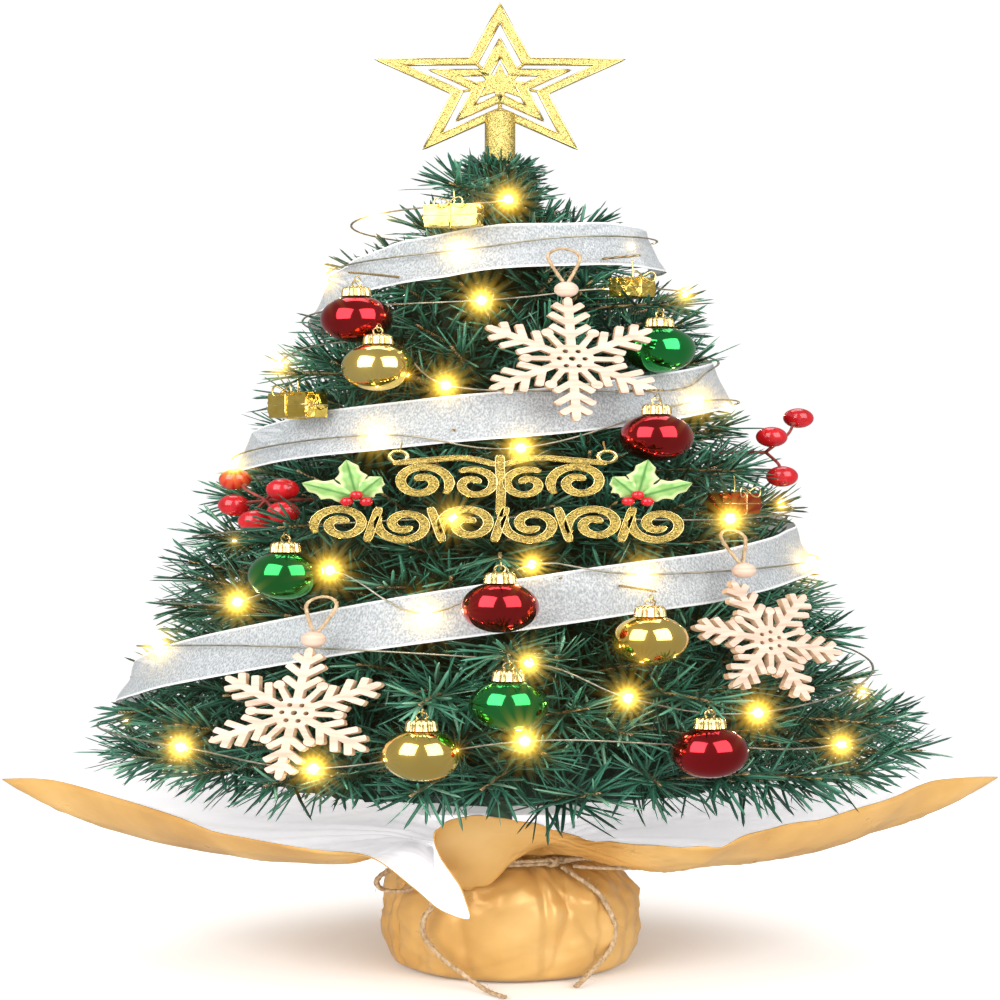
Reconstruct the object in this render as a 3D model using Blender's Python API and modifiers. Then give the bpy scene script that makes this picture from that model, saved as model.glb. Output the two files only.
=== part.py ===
"""Artificial tabletop tree with a wrapped base, a star topper and hanging ornaments.

Metres, +Z up. The origin is on the trunk's axis, on the underside of the wrapped base.
The front of the tree faces -Y. An azimuth is in degrees round the trunk, 0 at the front
and growing towards +X.
"""

import math

import bmesh
import bpy
from mathutils import Matrix, Vector

# ---- driving dimensions -------------------------------------------------------------
GAP = 0.0003  # clearance between pieces that touch

STAR_CENTRE_Z = 0.549
STAR_R = 0.051  # tip radius, so the tree is 0.600 high
STAR_NOTCH = 0.39  # notch radius as a share of the tip radius
STAR_THICK = 0.0025
STAR_FRAMES = ((1.0, 0.75), (0.57, 0.324))  # outer and inner scale of each nested frame
STAR_CORE = 0.17
BRIDGE_WIDTH = 0.0016
BRIDGE_BITE = 0.0012  # a bridge runs this far into the outer frame
BRIDGE_FOOT = 0.7  # a bridge starts at this share of the star's core
JOINING_THICK = 0.9  # a joining bar's thickness, as a share of the frame's
SLEEVE_R = 0.0062
SLEEVE_BORE_R = 0.0036
SLEEVE_Z = (0.4995, 0.5315)
SLEEVE_BORE_TOP_Z = 0.5235

POLE_R = 0.005
POLE_Z = (0.0045, 0.4985)
PEG_R = 0.003  # top of the trunk, inside the star's sleeve
PEG_TOP_Z = 0.522

CONE_R = 0.150  # radius of the ribbon's cone at CONE_Z
CONE_Z = 0.174
CONE_SLOPE = 0.327

TIER_EDGES = (0.108, 0.187, 0.251, 0.309, 0.363, 0.413)  # bottom of each tier
TIER_GAP = 0.001
TIER_INSET = 0.006  # the foliage solids stay this far inside the ribbon's cone
TIER_MAX_R = 0.156
TIER_WALL = 0.0016
TIER_COLLAR = 0.012  # height of the ring round the trunk
TIER_STEPS = 28
TIER_LOBES = (11, 10, 9, 8, 7, 6)
TIER_LOBE_DEPTH = 0.05
TIER_FOOT_SHARE = 0.88  # the rim's lowest edge, as a share of the widest radius there
FLOOR_Z = 0.1115  # the lowest tier's floor, over the wrapping sheet's standing edge
FLOOR_R = (0.118, 0.0087)  # its outer edge, and the hole for the trunk
CROWN = ((0.011, 0.0), (0.020, 0.015), (0.047, 0.045))  # top tier: radius and drop from its top

POT_R = (0.038, 0.041)  # bottom and top
POT_Z = (0.0015, 0.048)
POT_WALL = 0.0016
POT_STEPS = 28
PLASTER_TOP_Z = 0.0468

PAPER = 0.001
POUCH = (  # radius and height up the wrapped base, from the edge of its flat foot to the neck
    (0.040, 0.0),
    (0.048, 0.005),
    (0.0515, 0.022),
    (0.0508, 0.044),
    (0.0470, 0.057),
    (0.0400, 0.0655),
    (0.0340, 0.0690),
    (0.0330, 0.0730),
)
SKIRT_ROOT = 0.0045  # the sheet's step up where it leaves the neck
SKIRT_SHARES = (0.07, 0.30, 0.58, 0.76, 0.89, 1.0)
SKIRT_EDGE = (  # azimuth at the neck; x, y, z at the sheet's edge; power of its rise; its hump
    (-180, 0.000, 0.203, 0.112, 4.0, 0.000),
    (-170, -0.026, 0.177, 0.110, 5.0, 0.000),
    (-160, -0.052, 0.151, 0.106, 6.0, 0.000),
    (-148, -0.077, 0.126, 0.101, 7.0, 0.000),
    (-135, -0.102, 0.102, 0.098, 7.0, 0.000),
    (-124, -0.128, 0.075, 0.099, 7.0, 0.000),
    (-112, -0.155, 0.048, 0.104, 6.0, 0.000),
    (-101, -0.178, 0.023, 0.109, 5.0, 0.000),
    (-90, -0.203, 0.000, 0.112, 4.0, 0.000),
    (-82, -0.178, -0.020, 0.115, 6.0, 0.000),
    (-72, -0.145, -0.050, 0.106, 8.0, 0.000),
    (-62, -0.1235, -0.075, 0.104, 8.0, 0.000),
    (-52, -0.098, -0.100, 0.099, 7.0, 0.000),
    (-42, -0.066, -0.124, 0.096, 5.0, 0.000),
    (-33, -0.047, -0.110, 0.090, 3.0, 0.004),
    (-25, -0.032, -0.092, 0.0695, 2.3, 0.012),
    (-18, -0.022, -0.083, 0.054, 2.2, 0.017),
    (-14, -0.0115, -0.079, 0.0475, 2.2, 0.018),
    (-12, -0.0124, -0.072, 0.058, 1.8, 0.012),
    (-10.5, -0.0162, -0.066, 0.071, 1.4, 0.007),
    (-9, -0.0222, -0.062, 0.0833, 1.1, 0.003),
    (-7, -0.0238, -0.060, 0.0963, 0.9, 0.002),
    (-3, -0.0144, -0.060, 0.1051, 0.9, 0.001),
    (2, -0.0019, -0.060, 0.1045, 0.9, 0.001),
    (9, 0.0113, -0.060, 0.0987, 1.0, 0.000),
    (16, 0.0249, -0.064, 0.0934, 1.2, 0.000),
    (24, 0.040, -0.085, 0.0945, 2.0, 0.000),
    (32, 0.058, -0.112, 0.0960, 4.0, 0.000),
    (40, 0.0755, -0.118, 0.0975, 6.0, 0.000),
    (50, 0.095, -0.100, 0.1011, 7.0, 0.000),
    (60, 0.118, -0.080, 0.104, 8.0, 0.000),
    (70, 0.145, -0.055, 0.106, 8.0, 0.000),
    (80, 0.1725, -0.027, 0.116, 6.0, 0.000),
    (90, 0.203, 0.000, 0.112, 4.0, 0.000),
    (101, 0.178, 0.023, 0.109, 5.0, 0.000),
    (112, 0.155, 0.048, 0.104, 6.0, 0.000),
    (124, 0.128, 0.075, 0.099, 7.0, 0.000),
    (135, 0.102, 0.102, 0.098, 7.0, 0.000),
    (148, 0.077, 0.126, 0.101, 7.0, 0.000),
    (160, 0.052, 0.151, 0.106, 6.0, 0.000),
    (170, 0.026, 0.177, 0.110, 5.0, 0.000),
)

RIBBON_WIDTH = 0.027
RIBBON_THICK = 0.0006
RIBBON_STEPS = 92
RIBBON_COURSE = (  # azimuth and height of the band's middle
    (-115, 0.166),
    (-90, 0.172),
    (0, 0.231),
    (90, 0.263),
    (180, 0.291),
    (270, 0.316),
    (360, 0.337),
    (450, 0.364),
    (540, 0.390),
    (630, 0.412),
    (720, 0.437),
    (810, 0.444),
    (830, 0.445),
)

WIRE_R = 0.0005
WIRE_OFFSET = 0.0034  # outside the ribbon's cone
WIRE_COURSE = (  # azimuth and height along the light wire, once it is on the foliage
    (-180, 0.136),
    (-120, 0.143),
    (-80, 0.150),
    (-45, 0.151),
    (-23, 0.146),
    (3, 0.162),
    (26, 0.157),
    (50, 0.151),
    (110, 0.164),
    (180, 0.178),
    (250, 0.192),
    (296, 0.203),
    (330, 0.208),
    (364, 0.202),
    (377, 0.183),
    (396, 0.172),
    (440, 0.186),
    (500, 0.205),
    (590, 0.222),
    (660, 0.228),
    (675, 0.231),
    (692, 0.250),
    (709, 0.227),
    (725, 0.254),
    (743, 0.248),
    (789, 0.252),
    (850, 0.257),
    (940, 0.262),
    (1010, 0.268),
    (1072, 0.279),
    (1125, 0.278),
    (1190, 0.288),
    (1270, 0.298),
    (1350, 0.313),
    (1414, 0.326),
    (1444, 0.318),
    (1490, 0.347),
    (1560, 0.350),
    (1640, 0.358),
    (1710, 0.374),
    (1767, 0.381),
    (1788, 0.354),
    (1820, 0.352),
    (1850, 0.366),
    (1920, 0.384),
    (2000, 0.392),
    (2090, 0.402),
    (2155, 0.404),
    (2194, 0.413),
    (2260, 0.419),
    (2350, 0.424),
    (2450, 0.430),
    (2507, 0.435),
    (2560, 0.446),
    (2700, 0.456),
    (2860, 0.463),
    (2883, 0.466),
)
WIRE_STEP = 0.045  # spacing of the points, at the widest turn
WIRE_LEAD = (  # from the battery case to the first point on the foliage
    (-0.0358, 0.060, 0.0925),
    (-0.043, 0.0605, 0.0930),
    (-0.051, 0.065, 0.0940),
    (-0.056, 0.076, 0.0955),
    (-0.055, 0.091, 0.0975),
    (-0.049, 0.107, 0.1000),
    (-0.038, 0.123, 0.1015),
    (-0.026, 0.139, 0.1025),
    (-0.015, 0.153, 0.1055),
    (-0.007, 0.163, 0.114),
    (-0.002, 0.166, 0.125),
)

BALL_R = 0.0135
BALL_NECK_R = 0.003
BALL_NECK_RISE = 0.0025
BALL_DROP = 0.024  # hanging point to the ball's centre
BALL_OFFSET = 0.019  # ball's centre outside the ribbon's cone
CAP_R = 0.0052
CAP_Z = (0.0134, 0.0188)  # above the ball's centre
CAP_CHAMFER = 0.001
BALLS = (  # name, colour, azimuth, height of the centre, offset from the cone
    ("top_left", "red", -33, 0.393, BALL_OFFSET),
    ("upper_right", "red", 28, 0.324, BALL_OFFSET),
    ("centre", "red", 0, 0.232, BALL_OFFSET),
    ("lower_right", "red", 24, 0.156, BALL_OFFSET),
    ("upper_left", "gold", -24.5, 0.364, BALL_OFFSET),
    ("right", "gold", 19.3, 0.214, BALL_OFFSET),
    ("lower_left", "gold", -8.6, 0.157, BALL_OFFSET),
    ("upper_right", "green", 39.5, 0.3765, 0.010),
    ("left", "green", -31.5, 0.2475, BALL_OFFSET),
    ("lower_centre", "green", 1, 0.182, BALL_OFFSET),
)

FLAKE_THICK = 0.0025
FLAKE_DROP = 0.058  # hanging point to the snowflake's centre
BEAD_R = 0.0045
BEAD_RISE = 0.0405  # snowflake's centre to the bead's centre
FLAKES = (  # name, azimuth, height, offset from the cone, lean back, turn in its own plane
    ("top", 14, 0.368, 0.020, 10, 0),
    ("left", -25.4, 0.175, 0.014, 18, 0),
    ("right", 39, 0.211, 0.014, 18, 14),
)
FLAKE_ARM = (  # along the arm and half width, from the hub to the tip
    (0.0070, 0.0021),
    (0.0145, 0.0021),
    (0.0195, 0.0082),
    (0.0222, 0.0068),
    (0.0190, 0.0021),
    (0.0255, 0.0021),
    (0.0295, 0.0074),
    (0.0320, 0.0060),
    (0.0293, 0.0021),
    (0.0360, 0.0018),
)
FLAKE_SPOKE = ((0.0095, 0.0019), (0.0150, 0.0019), (0.0172, 0.0008))

SIGN_Y = -0.130
SIGN_THICK = 0.003
SIGN_ROWS = (  # half width, bottom and top of each row of scroll-work
    (0.067, 0.2635, 0.2880),
    (0.0405, 0.2870, 0.3135),
)
SIGN_RINGS_X = (-0.0355, 0.0375)
SIGN_RING_R = 0.004
SIGN_RING_Z = 0.3125
SIGN_HANG_Z = 0.321
HOLLY_X = (-0.050, 0.048)  # where the two leaves meet
HOLLY_Z = 0.2905
HOLLY_LEAF = ((0.0, 0.0), (0.004, 0.0045), (0.0095, 0.0040), (0.014, 0.0065), (0.021, 0.0))
HOLLY_LEAF_TURNS = (25, 80)
HOLLY_THICK = 0.0014
HOLLY_LEAF_STEP = 0.05  # the second leaf is thinner by this share
HOLLY_BERRY_R = 0.0032
HOLLY_BERRY_RISE = 0.0012
HOLLY_BERRY_FLAT = 0.55

BERRY_R = 0.0062
BERRY_STEM_R = 0.0009
BERRY_BUD_R = 0.0019
BERRY_ROOT = 0.0006  # the root stem starts this far outside the cone
BERRY_ELBOW = 0.006  # stems stand out this far before they spread
BERRY_STEM_BOW = 0.002
BERRY_PICKS = (  # name, the stems' root, and each berry's azimuth, height and offset
    (
        "left",
        (-47, 0.289),
        (
            (-55, 0.301, 0.013),
            (-51.5, 0.286, 0.013),
            (-44, 0.277, 0.013),
            (-40, 0.295, 0.013),
            (-38, 0.282, 0.013),
        ),
    ),
    ("right", (72, 0.318), ((68.5, 0.327, 0.013), (85, 0.340, 0.024), (63, 0.303, 0.013))),
)

PACKS = (  # name, azimuth, height of the centre, offset, width, depth, height
    ("top", -14.5, 0.4545, 0.0115, 0.023, 0.011, 0.014),
    ("left", -45.5, 0.344, 0.0115, 0.024, 0.012, 0.016),
    ("upper_right", 36.5, 0.413, 0.0115, 0.016, 0.011, 0.012),
    ("right", 43, 0.287, 0.0125, 0.018, 0.013, 0.013),
)
PACK_DROP = 0.016
PACK_BEVEL = 0.0028

TWINE_R = 0.0013
TWINE_RING_R = 0.0372
TWINE_Z = 0.0712
KNOT_R = 0.0029
KNOT_PROUD = 0.0012  # knot's centre outside the binding's middle
KNOT_DROP = 0.0012  # knot's centre below the binding
KNOT_AZIMUTH = 32
TWINE_LOOPS = {  # each a short run from the binding and back to it
    "left": (
        (-0.0305, -0.0245, 0.0690),
        (-0.0360, -0.0270, 0.0690),
        (-0.0415, -0.0285, 0.0660),
        (-0.0468, -0.0290, 0.0605),
        (-0.0482, -0.0285, 0.0560),
        (-0.0455, -0.0300, 0.0525),
        (-0.0400, -0.0330, 0.0525),
        (-0.0345, -0.0365, 0.0545),
        (-0.0312, -0.0352, 0.0605),
        (-0.0290, -0.0305, 0.0665),
    ),
    "right": (
        (0.0252, -0.0302, 0.0712),
        (0.0330, -0.0330, 0.0720),
        (0.0440, -0.0345, 0.0724),
        (0.0550, -0.0345, 0.0722),
        (0.0612, -0.0345, 0.0705),
        (0.0610, -0.0350, 0.0680),
        (0.0545, -0.0355, 0.0668),
        (0.0440, -0.0360, 0.0670),
        (0.0350, -0.0362, 0.0676),
        (0.0284, -0.0358, 0.0684),
    ),
}
TWINE_TAILS = {
    "left": (
        (-0.0245, -0.0332, 0.0672),
        (-0.0275, -0.0378, 0.0630),
        (-0.0288, -0.0415, 0.0560),
        (-0.0262, -0.0462, 0.0470),
        (-0.0292, -0.0450, 0.0393),
        (-0.0289, -0.0456, 0.0282),
        (-0.0223, -0.0497, 0.0170),
        (-0.0143, -0.0535, 0.0088),
        (-0.0080, -0.0580, 0.0032),
        (-0.0040, -0.0645, 0.0014),
        (0.0017, -0.0742, 0.0014),
    ),
    "right": (
        (0.0240, -0.0362, 0.0680),
        (0.0298, -0.0380, 0.0622),
        (0.0355, -0.0375, 0.0560),
        (0.0395, -0.0355, 0.0491),
        (0.0442, -0.0320, 0.0340),
        (0.0440, -0.0320, 0.0212),
        (0.0400, -0.0375, 0.0130),
        (0.0348, -0.0430, 0.0065),
        (0.0310, -0.0485, 0.0022),
        (0.0290, -0.0540, 0.0014),
    ),
}

CASE_SIZE = (0.070, 0.034, 0.019)
CASE_CENTRE = (0.0, 0.060, 0.0925)
CASE_WALL = 0.0015
CASE_CORNER = 0.002
LID_THICK = 0.0016
CELL_R = 0.007
CELL_LENGTH = 0.050
CELL_X = -0.006  # towards the case's closed end, beside the contacts
CELL_Y = 0.0078  # cells either side of the case's middle
SWITCH_SIZE = (0.005, 0.0022, 0.004)
SWITCH_SLOT = (0.010, 0.0046)
SWITCH_X = 0.022  # middle of the slot
SWITCH_OFF = 0.002  # the knob rests this far towards the off end
SWITCH_SUNK = 0.0005

COLOURS = {  # base colour, roughness, metallic
    "needle_green": ((0.035, 0.13, 0.07), 0.55, 0.0),
    "trunk_green": ((0.03, 0.09, 0.04), 0.6, 0.0),
    "gold_glitter": ((0.83, 0.62, 0.16), 0.35, 1.0),
    "gold_paper": ((0.80, 0.50, 0.17), 0.4, 0.3),
    "pot_plastic": ((0.05, 0.05, 0.05), 0.5, 0.0),
    "plaster": ((0.75, 0.73, 0.70), 0.9, 0.0),
    "organza": ((0.92, 0.92, 0.92), 0.5, 0.0),
    "light_wire": ((0.75, 0.70, 0.58), 0.35, 1.0),
    "ball_red": ((0.55, 0.01, 0.02), 0.1, 0.9),
    "ball_gold": ((0.80, 0.60, 0.20), 0.1, 0.9),
    "ball_green": ((0.02, 0.40, 0.07), 0.1, 0.9),
    "cap_gold": ((0.85, 0.65, 0.25), 0.25, 1.0),
    "pale_wood": ((0.85, 0.72, 0.56), 0.7, 0.0),
    "holly_green": ((0.10, 0.35, 0.06), 0.4, 0.2),
    "berry_red": ((0.65, 0.01, 0.01), 0.2, 0.0),
    "gold_foil": ((0.90, 0.66, 0.12), 0.2, 1.0),
    "red_foil": ((0.75, 0.10, 0.04), 0.25, 0.8),
    "jute": ((0.62, 0.47, 0.30), 0.9, 0.0),
    "case_plastic": ((0.85, 0.85, 0.83), 0.4, 0.0),
    "switch_plastic": ((0.10, 0.10, 0.10), 0.4, 0.0),
    "cell_jacket": ((0.12, 0.25, 0.45), 0.35, 0.3),
}

PARTS = bpy.data.collections.new("tabletop_tree")
CUTTERS = bpy.data.collections.new("cutters")


# ---- helpers ------------------------------------------------------------------------
def clear_scene():
    for obj in list(bpy.data.objects):
        bpy.data.objects.remove(obj, do_unlink=True)
    bpy.context.scene.collection.children.link(PARTS)
    bpy.context.scene.collection.children.link(CUTTERS)


def material(name):
    found = bpy.data.materials.get(name)
    if found:
        return found
    colour, roughness, metallic = COLOURS[name]
    made = bpy.data.materials.new(name)
    made.use_nodes = True
    shader = made.node_tree.nodes["Principled BSDF"]
    shader.inputs["Base Color"].default_value = (*colour, 1.0)
    shader.inputs["Roughness"].default_value = roughness
    shader.inputs["Metallic"].default_value = metallic
    return made


def place(name, data, finish, collection=PARTS):
    """A new object from a mesh or curve, in the collection, with one material."""
    obj = bpy.data.objects.new(name, data)
    collection.objects.link(obj)
    if finish:
        data.materials.append(material(finish))
    return obj


def mesh_from(bm, name, smooth=True):
    mesh = bpy.data.meshes.new(name)
    bmesh.ops.recalc_face_normals(bm, faces=bm.faces)
    bm.to_mesh(mesh)
    bm.free()
    if smooth:
        mesh.shade_smooth()
        mesh.set_sharp_from_angle(angle=math.radians(35))
    return mesh


def as_mesh(obj):
    """The object's evaluated shape as a mesh with its caps welded; the object is removed."""
    bpy.context.view_layer.update()
    graph = bpy.context.evaluated_depsgraph_get()
    mesh = bpy.data.meshes.new_from_object(obj.evaluated_get(graph))
    bm = bmesh.new()
    bm.from_mesh(mesh)
    bmesh.ops.remove_doubles(bm, verts=bm.verts, dist=0.00001)
    bmesh.ops.transform(bm, matrix=obj.matrix_world, verts=bm.verts)
    bmesh.ops.recalc_face_normals(bm, faces=bm.faces)
    bm.to_mesh(mesh)
    bm.free()
    bpy.data.objects.remove(obj, do_unlink=True)
    return mesh


def turned(name, profile, finish, steps, closed=False, collection=PARTS):
    """A turned shape from (radius, height) pairs that run down its outer side."""
    mesh = bpy.data.meshes.new(name)
    points = [(radius, 0.0, height) for radius, height in profile]
    edges = [(i, i + 1) for i in range(len(points) - 1)]
    if closed:
        edges.append((len(points) - 1, 0))
    mesh.from_pydata(points, edges, [])
    obj = place(name, mesh, finish, collection)
    screw = obj.modifiers.new("turn", "SCREW")
    screw.axis = "Z"
    screw.steps = steps
    screw.render_steps = steps
    screw.use_merge_vertices = True
    screw.merge_threshold = 0.00001
    screw.use_smooth_shade = True
    return obj


def box(name, size, centre, finish, bevel=0.0, collection=PARTS):
    bm = bmesh.new()
    bmesh.ops.create_cube(bm, size=1.0)
    bmesh.ops.scale(bm, vec=size, verts=bm.verts)
    if bevel:
        bmesh.ops.bevel(bm, geom=bm.edges[:], offset=bevel, segments=2, profile=0.5, affect="EDGES")
    obj = place(name, mesh_from(bm, name), finish, collection)
    obj.location = centre
    return obj


def sphere(name, radius, centre, finish, around=12, rings=8, collection=PARTS):
    bm = bmesh.new()
    bmesh.ops.create_uvsphere(bm, u_segments=around, v_segments=rings, radius=radius)
    obj = place(name, mesh_from(bm, name), finish, collection)
    obj.location = centre
    return obj


def rod(name, radius, length, centre, axis, finish, around=16, collection=PARTS):
    bm = bmesh.new()
    bmesh.ops.create_cone(
        bm, cap_ends=True, segments=around, radius1=radius, radius2=radius, depth=length
    )
    obj = place(name, mesh_from(bm, name), finish, collection)
    obj.rotation_euler = Vector(axis).to_track_quat("Z", "Y").to_euler()
    obj.location = centre
    return obj


def tube(name, points, radius, finish, closed=False, sides=2, collection=PARTS):
    """A round tube along points, with filled ends."""
    curve = bpy.data.curves.new(name, "CURVE")
    curve.dimensions = "3D"
    curve.bevel_depth = radius
    curve.bevel_resolution = sides
    curve.use_fill_caps = not closed
    spline = curve.splines.new("POLY")
    spline.points.add(len(points) - 1)
    for target, point in zip(spline.points, points):
        target.co = (*point, 1.0)
    spline.use_cyclic_u = closed
    return place(name, curve, finish, collection)


def flat(name, outlines, thickness, finish, collection=PARTS):
    """A flat piece from closed outlines in its own XY plane; outlines inside others are holes."""
    curve = bpy.data.curves.new(name, "CURVE")
    curve.dimensions = "2D"
    curve.fill_mode = "BOTH"
    curve.extrude = thickness / 2
    for outline in outlines:
        spline = curve.splines.new("POLY")
        spline.points.add(len(outline) - 1)
        for target, (x, y) in zip(spline.points, outline):
            target.co = (x, y, 0.0, 1.0)
        spline.use_cyclic_u = True
    return place(name, curve, finish, collection)


def join(obj, others, operation="UNION"):
    """Boolean the others onto obj, and keep them as hidden cutters."""
    for other in others:
        other.hide_render = True
        other.display_type = "WIRE"
        step = obj.modifiers.new(f"{operation.lower()}_{other.name}", "BOOLEAN")
        step.operation = operation
        step.solver = "EXACT"
        step.object = other
    return obj


def smooth_through(points, steps_between):
    """Points along a Catmull-Rom curve through the given ones, for any number of axes."""
    found = []
    last = len(points) - 1
    for i in range(last):
        before = points[max(i - 1, 0)]
        start = points[i]
        end = points[i + 1]
        after = points[min(i + 2, last)]
        for step in range(steps_between):
            t = step / steps_between
            found.append(
                tuple(
                    0.5
                    * (
                        2 * b
                        + (c - a) * t
                        + (2 * a - 5 * b + 4 * c - d) * t * t
                        + (3 * b - a - 3 * c + d) * t * t * t
                    )
                    for a, b, c, d in zip(before, start, end, after)
                )
            )
    found.append(tuple(points[last]))
    return found


def cone_radius(height):
    """Radius of the cone that the ribbon lies on."""
    return CONE_R - CONE_SLOPE * (height - CONE_Z)


def outward(azimuth):
    angle = math.radians(azimuth)
    return Vector((math.sin(angle), -math.cos(angle), 0.0))


def around(azimuth, height, offset=0.0):
    """A point outside the ribbon's cone by offset."""
    return outward(azimuth) * (cone_radius(height) + offset) + Vector((0, 0, height))


# ---- trunk, base and foliage --------------------------------------------------------
def make_trunk():
    profile = (
        (0.0, PEG_TOP_Z),
        (PEG_R, PEG_TOP_Z),
        (PEG_R, POLE_Z[1]),
        (POLE_R, POLE_Z[1]),
        (POLE_R, POLE_Z[0]),
        (0.0, POLE_Z[0]),
    )
    turned("trunk_pole", profile, "trunk_green", 12)


def make_base():
    bottom_r, top_r = POT_R
    bottom_z, top_z = POT_Z
    pot = (
        (0.0, bottom_z + POT_WALL),
        (bottom_r - POT_WALL, bottom_z + POT_WALL),
        (top_r - POT_WALL, top_z),
        (top_r, top_z),
        (bottom_r, bottom_z),
        (0.0, bottom_z),
    )
    turned("base_pot", pot, "pot_plastic", POT_STEPS)
    hole_r = POLE_R + GAP
    inner_bottom = bottom_r - POT_WALL - GAP
    taper = (top_r - bottom_r) / (top_z - bottom_z)
    inner_top = top_r - POT_WALL - 2 * GAP - (top_z - PLASTER_TOP_Z) * taper
    floor_z = bottom_z + POT_WALL + GAP
    plaster = (
        (hole_r, PLASTER_TOP_Z),
        (inner_top, PLASTER_TOP_Z),
        (inner_bottom, floor_z),
        (hole_r, floor_z),
    )
    turned("plaster_weight", plaster, "plaster", POT_STEPS, closed=True)


def tier_profile(index):
    """One layer of branches as an umbrella: its outer side down to the rim, then the inside.

    The lowest layer has a floor, with a hole for the trunk, where its branches spread level.
    """
    low = TIER_EDGES[index]
    last = index == len(TIER_EDGES) - 1
    high = SLEEVE_Z[0] - TIER_GAP if last else TIER_EDGES[index + 1] - TIER_GAP
    bore = POLE_R + GAP

    def rim(z):
        return min(cone_radius(z) - TIER_INSET, TIER_MAX_R)

    if last:
        crown = [(radius, high - drop) for radius, drop in CROWN]
    else:
        shoulder = high - 0.3 * (high - low)
        crown = [(0.8 * rim(high), high), (rim(shoulder), shoulder)]
    lower = low + 0.16 * (high - low)
    foot = TIER_FOOT_SHARE * rim(low)
    outside = crown + [(rim(lower), lower)]
    inside = [(radius - TIER_WALL, z - TIER_WALL) for radius, z in reversed(outside)]
    collar_r = bore + 2 * TIER_WALL
    collar_low = high - TIER_COLLAR
    collar = [(collar_r, high - TIER_WALL), (collar_r, collar_low), (bore, collar_low)]
    edge = [(foot, low)]
    if index == 0:
        floor_r, hole_r = FLOOR_R
        top = FLOOR_Z + TIER_WALL
        edge += [(floor_r, FLOOR_Z), (hole_r, FLOOR_Z), (hole_r, top), (floor_r, top)]
    else:
        edge.append((foot - 2 * TIER_WALL, low))
    return [(bore, high)] + outside + edge + inside + collar


def make_tiers():
    for index, lobes in enumerate(TIER_LOBES):
        name = f"branch_tier_{index + 1}"
        ring = turned("ring", tier_profile(index), None, TIER_STEPS, closed=True, collection=CUTTERS)
        mesh = as_mesh(ring)
        for vertex in mesh.vertices:
            radius = math.hypot(vertex.co.x, vertex.co.y)
            reach = max(0.0, (radius - 2 * POLE_R) / TIER_MAX_R)
            azimuth = math.atan2(vertex.co.x, -vertex.co.y)
            dip = 0.5 - 0.5 * math.cos(lobes * azimuth + index)
            scale = 1.0 - TIER_LOBE_DEPTH * dip * reach
            vertex.co.x *= scale
            vertex.co.y *= scale
        place(name, mesh, "needle_green")


# ---- wrapping sheet -----------------------------------------------------------------
def skirt_point(key, share):
    """A point of the spread part of the sheet, from the neck (0) to the sheet's edge (1)."""
    azimuth, x, y, z, power, hump = key
    neck_r, neck_z = POUCH[-1]
    point = (outward(azimuth) * neck_r).lerp(Vector((x, y, 0)), share)
    root = neck_z + SKIRT_ROOT
    rise = (z - root) * share**power + hump * math.sin(math.pi * share)
    point.z = neck_z + SKIRT_ROOT * min(1.0, 4 * share) + rise
    return point


def make_wrapper():
    """The sheet's outer side as an open surface, given its thickness inwards."""
    bm = bmesh.new()
    ways = [outward(key[0]) for key in SKIRT_EDGE]
    rings = [[bm.verts.new(way * r + Vector((0, 0, z))) for way in ways] for r, z in POUCH]
    rings += [[bm.verts.new(skirt_point(key, share)) for key in SKIRT_EDGE] for share in SKIRT_SHARES]
    bm.faces.new(reversed(rings[0]))
    for lower, upper in zip(rings, rings[1:]):
        for i in range(len(ways)):
            j = (i + 1) % len(ways)
            bm.faces.new((lower[i], lower[j], upper[j], upper[i]))
    bmesh.ops.recalc_face_normals(bm, faces=bm.faces)
    bm.normal_update()
    if bm.faces[0].normal.z > 0:
        bmesh.ops.reverse_faces(bm, faces=bm.faces)
    mesh = bpy.data.meshes.new("wrapper_paper")
    bm.to_mesh(mesh)
    bm.free()
    mesh.shade_smooth()
    obj = place("wrapper_paper", mesh, "gold_paper")
    shell = obj.modifiers.new("thickness", "SOLIDIFY")
    shell.thickness = PAPER
    shell.offset = -1.0
    shell.use_even_offset = True


# ---- ribbon and lights --------------------------------------------------------------
def make_ribbon():
    course = smooth_through(RIBBON_COURSE, 12)
    total = RIBBON_COURSE[-1][0] - RIBBON_COURSE[0][0]
    bm = bmesh.new()
    rows = []
    for step in range(RIBBON_STEPS + 1):
        azimuth = RIBBON_COURSE[0][0] + total * step / RIBBON_STEPS
        middle = height_on(course, azimuth)
        low = middle - RIBBON_WIDTH / 2
        high = middle + RIBBON_WIDTH / 2
        rows.append((bm.verts.new(around(azimuth, low)), bm.verts.new(around(azimuth, high))))
    for (low_a, high_a), (low_b, high_b) in zip(rows, rows[1:]):
        bm.faces.new((low_a, low_b, high_b, high_a))
    mesh = bpy.data.meshes.new("organza_ribbon")
    bm.to_mesh(mesh)
    bm.free()
    mesh.shade_smooth()
    obj = place("organza_ribbon", mesh, "organza")
    shell = obj.modifiers.new("thickness", "SOLIDIFY")
    shell.thickness = RIBBON_THICK
    shell.offset = 0.0


def height_on(course, azimuth):
    for (a, low), (b, high) in zip(course, course[1:]):
        if a <= azimuth <= b:
            return low + (high - low) * (azimuth - a) / (b - a)
    return course[-1][1]


def make_light_wire():
    course = smooth_through(WIRE_COURSE, 8)
    points = [Vector(point) for point in WIRE_LEAD]
    azimuth = WIRE_COURSE[0][0]
    while azimuth < WIRE_COURSE[-1][0]:
        height = height_on(course, azimuth)
        points.append(around(azimuth, height, WIRE_OFFSET))
        turn = 0.5 + 0.5 * cone_radius(height) / CONE_R
        azimuth += math.degrees(WIRE_STEP * turn / cone_radius(height))
    points.append(around(*WIRE_COURSE[-1], WIRE_OFFSET))
    tube("light_wire", points, WIRE_R, "light_wire", sides=1)


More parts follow.
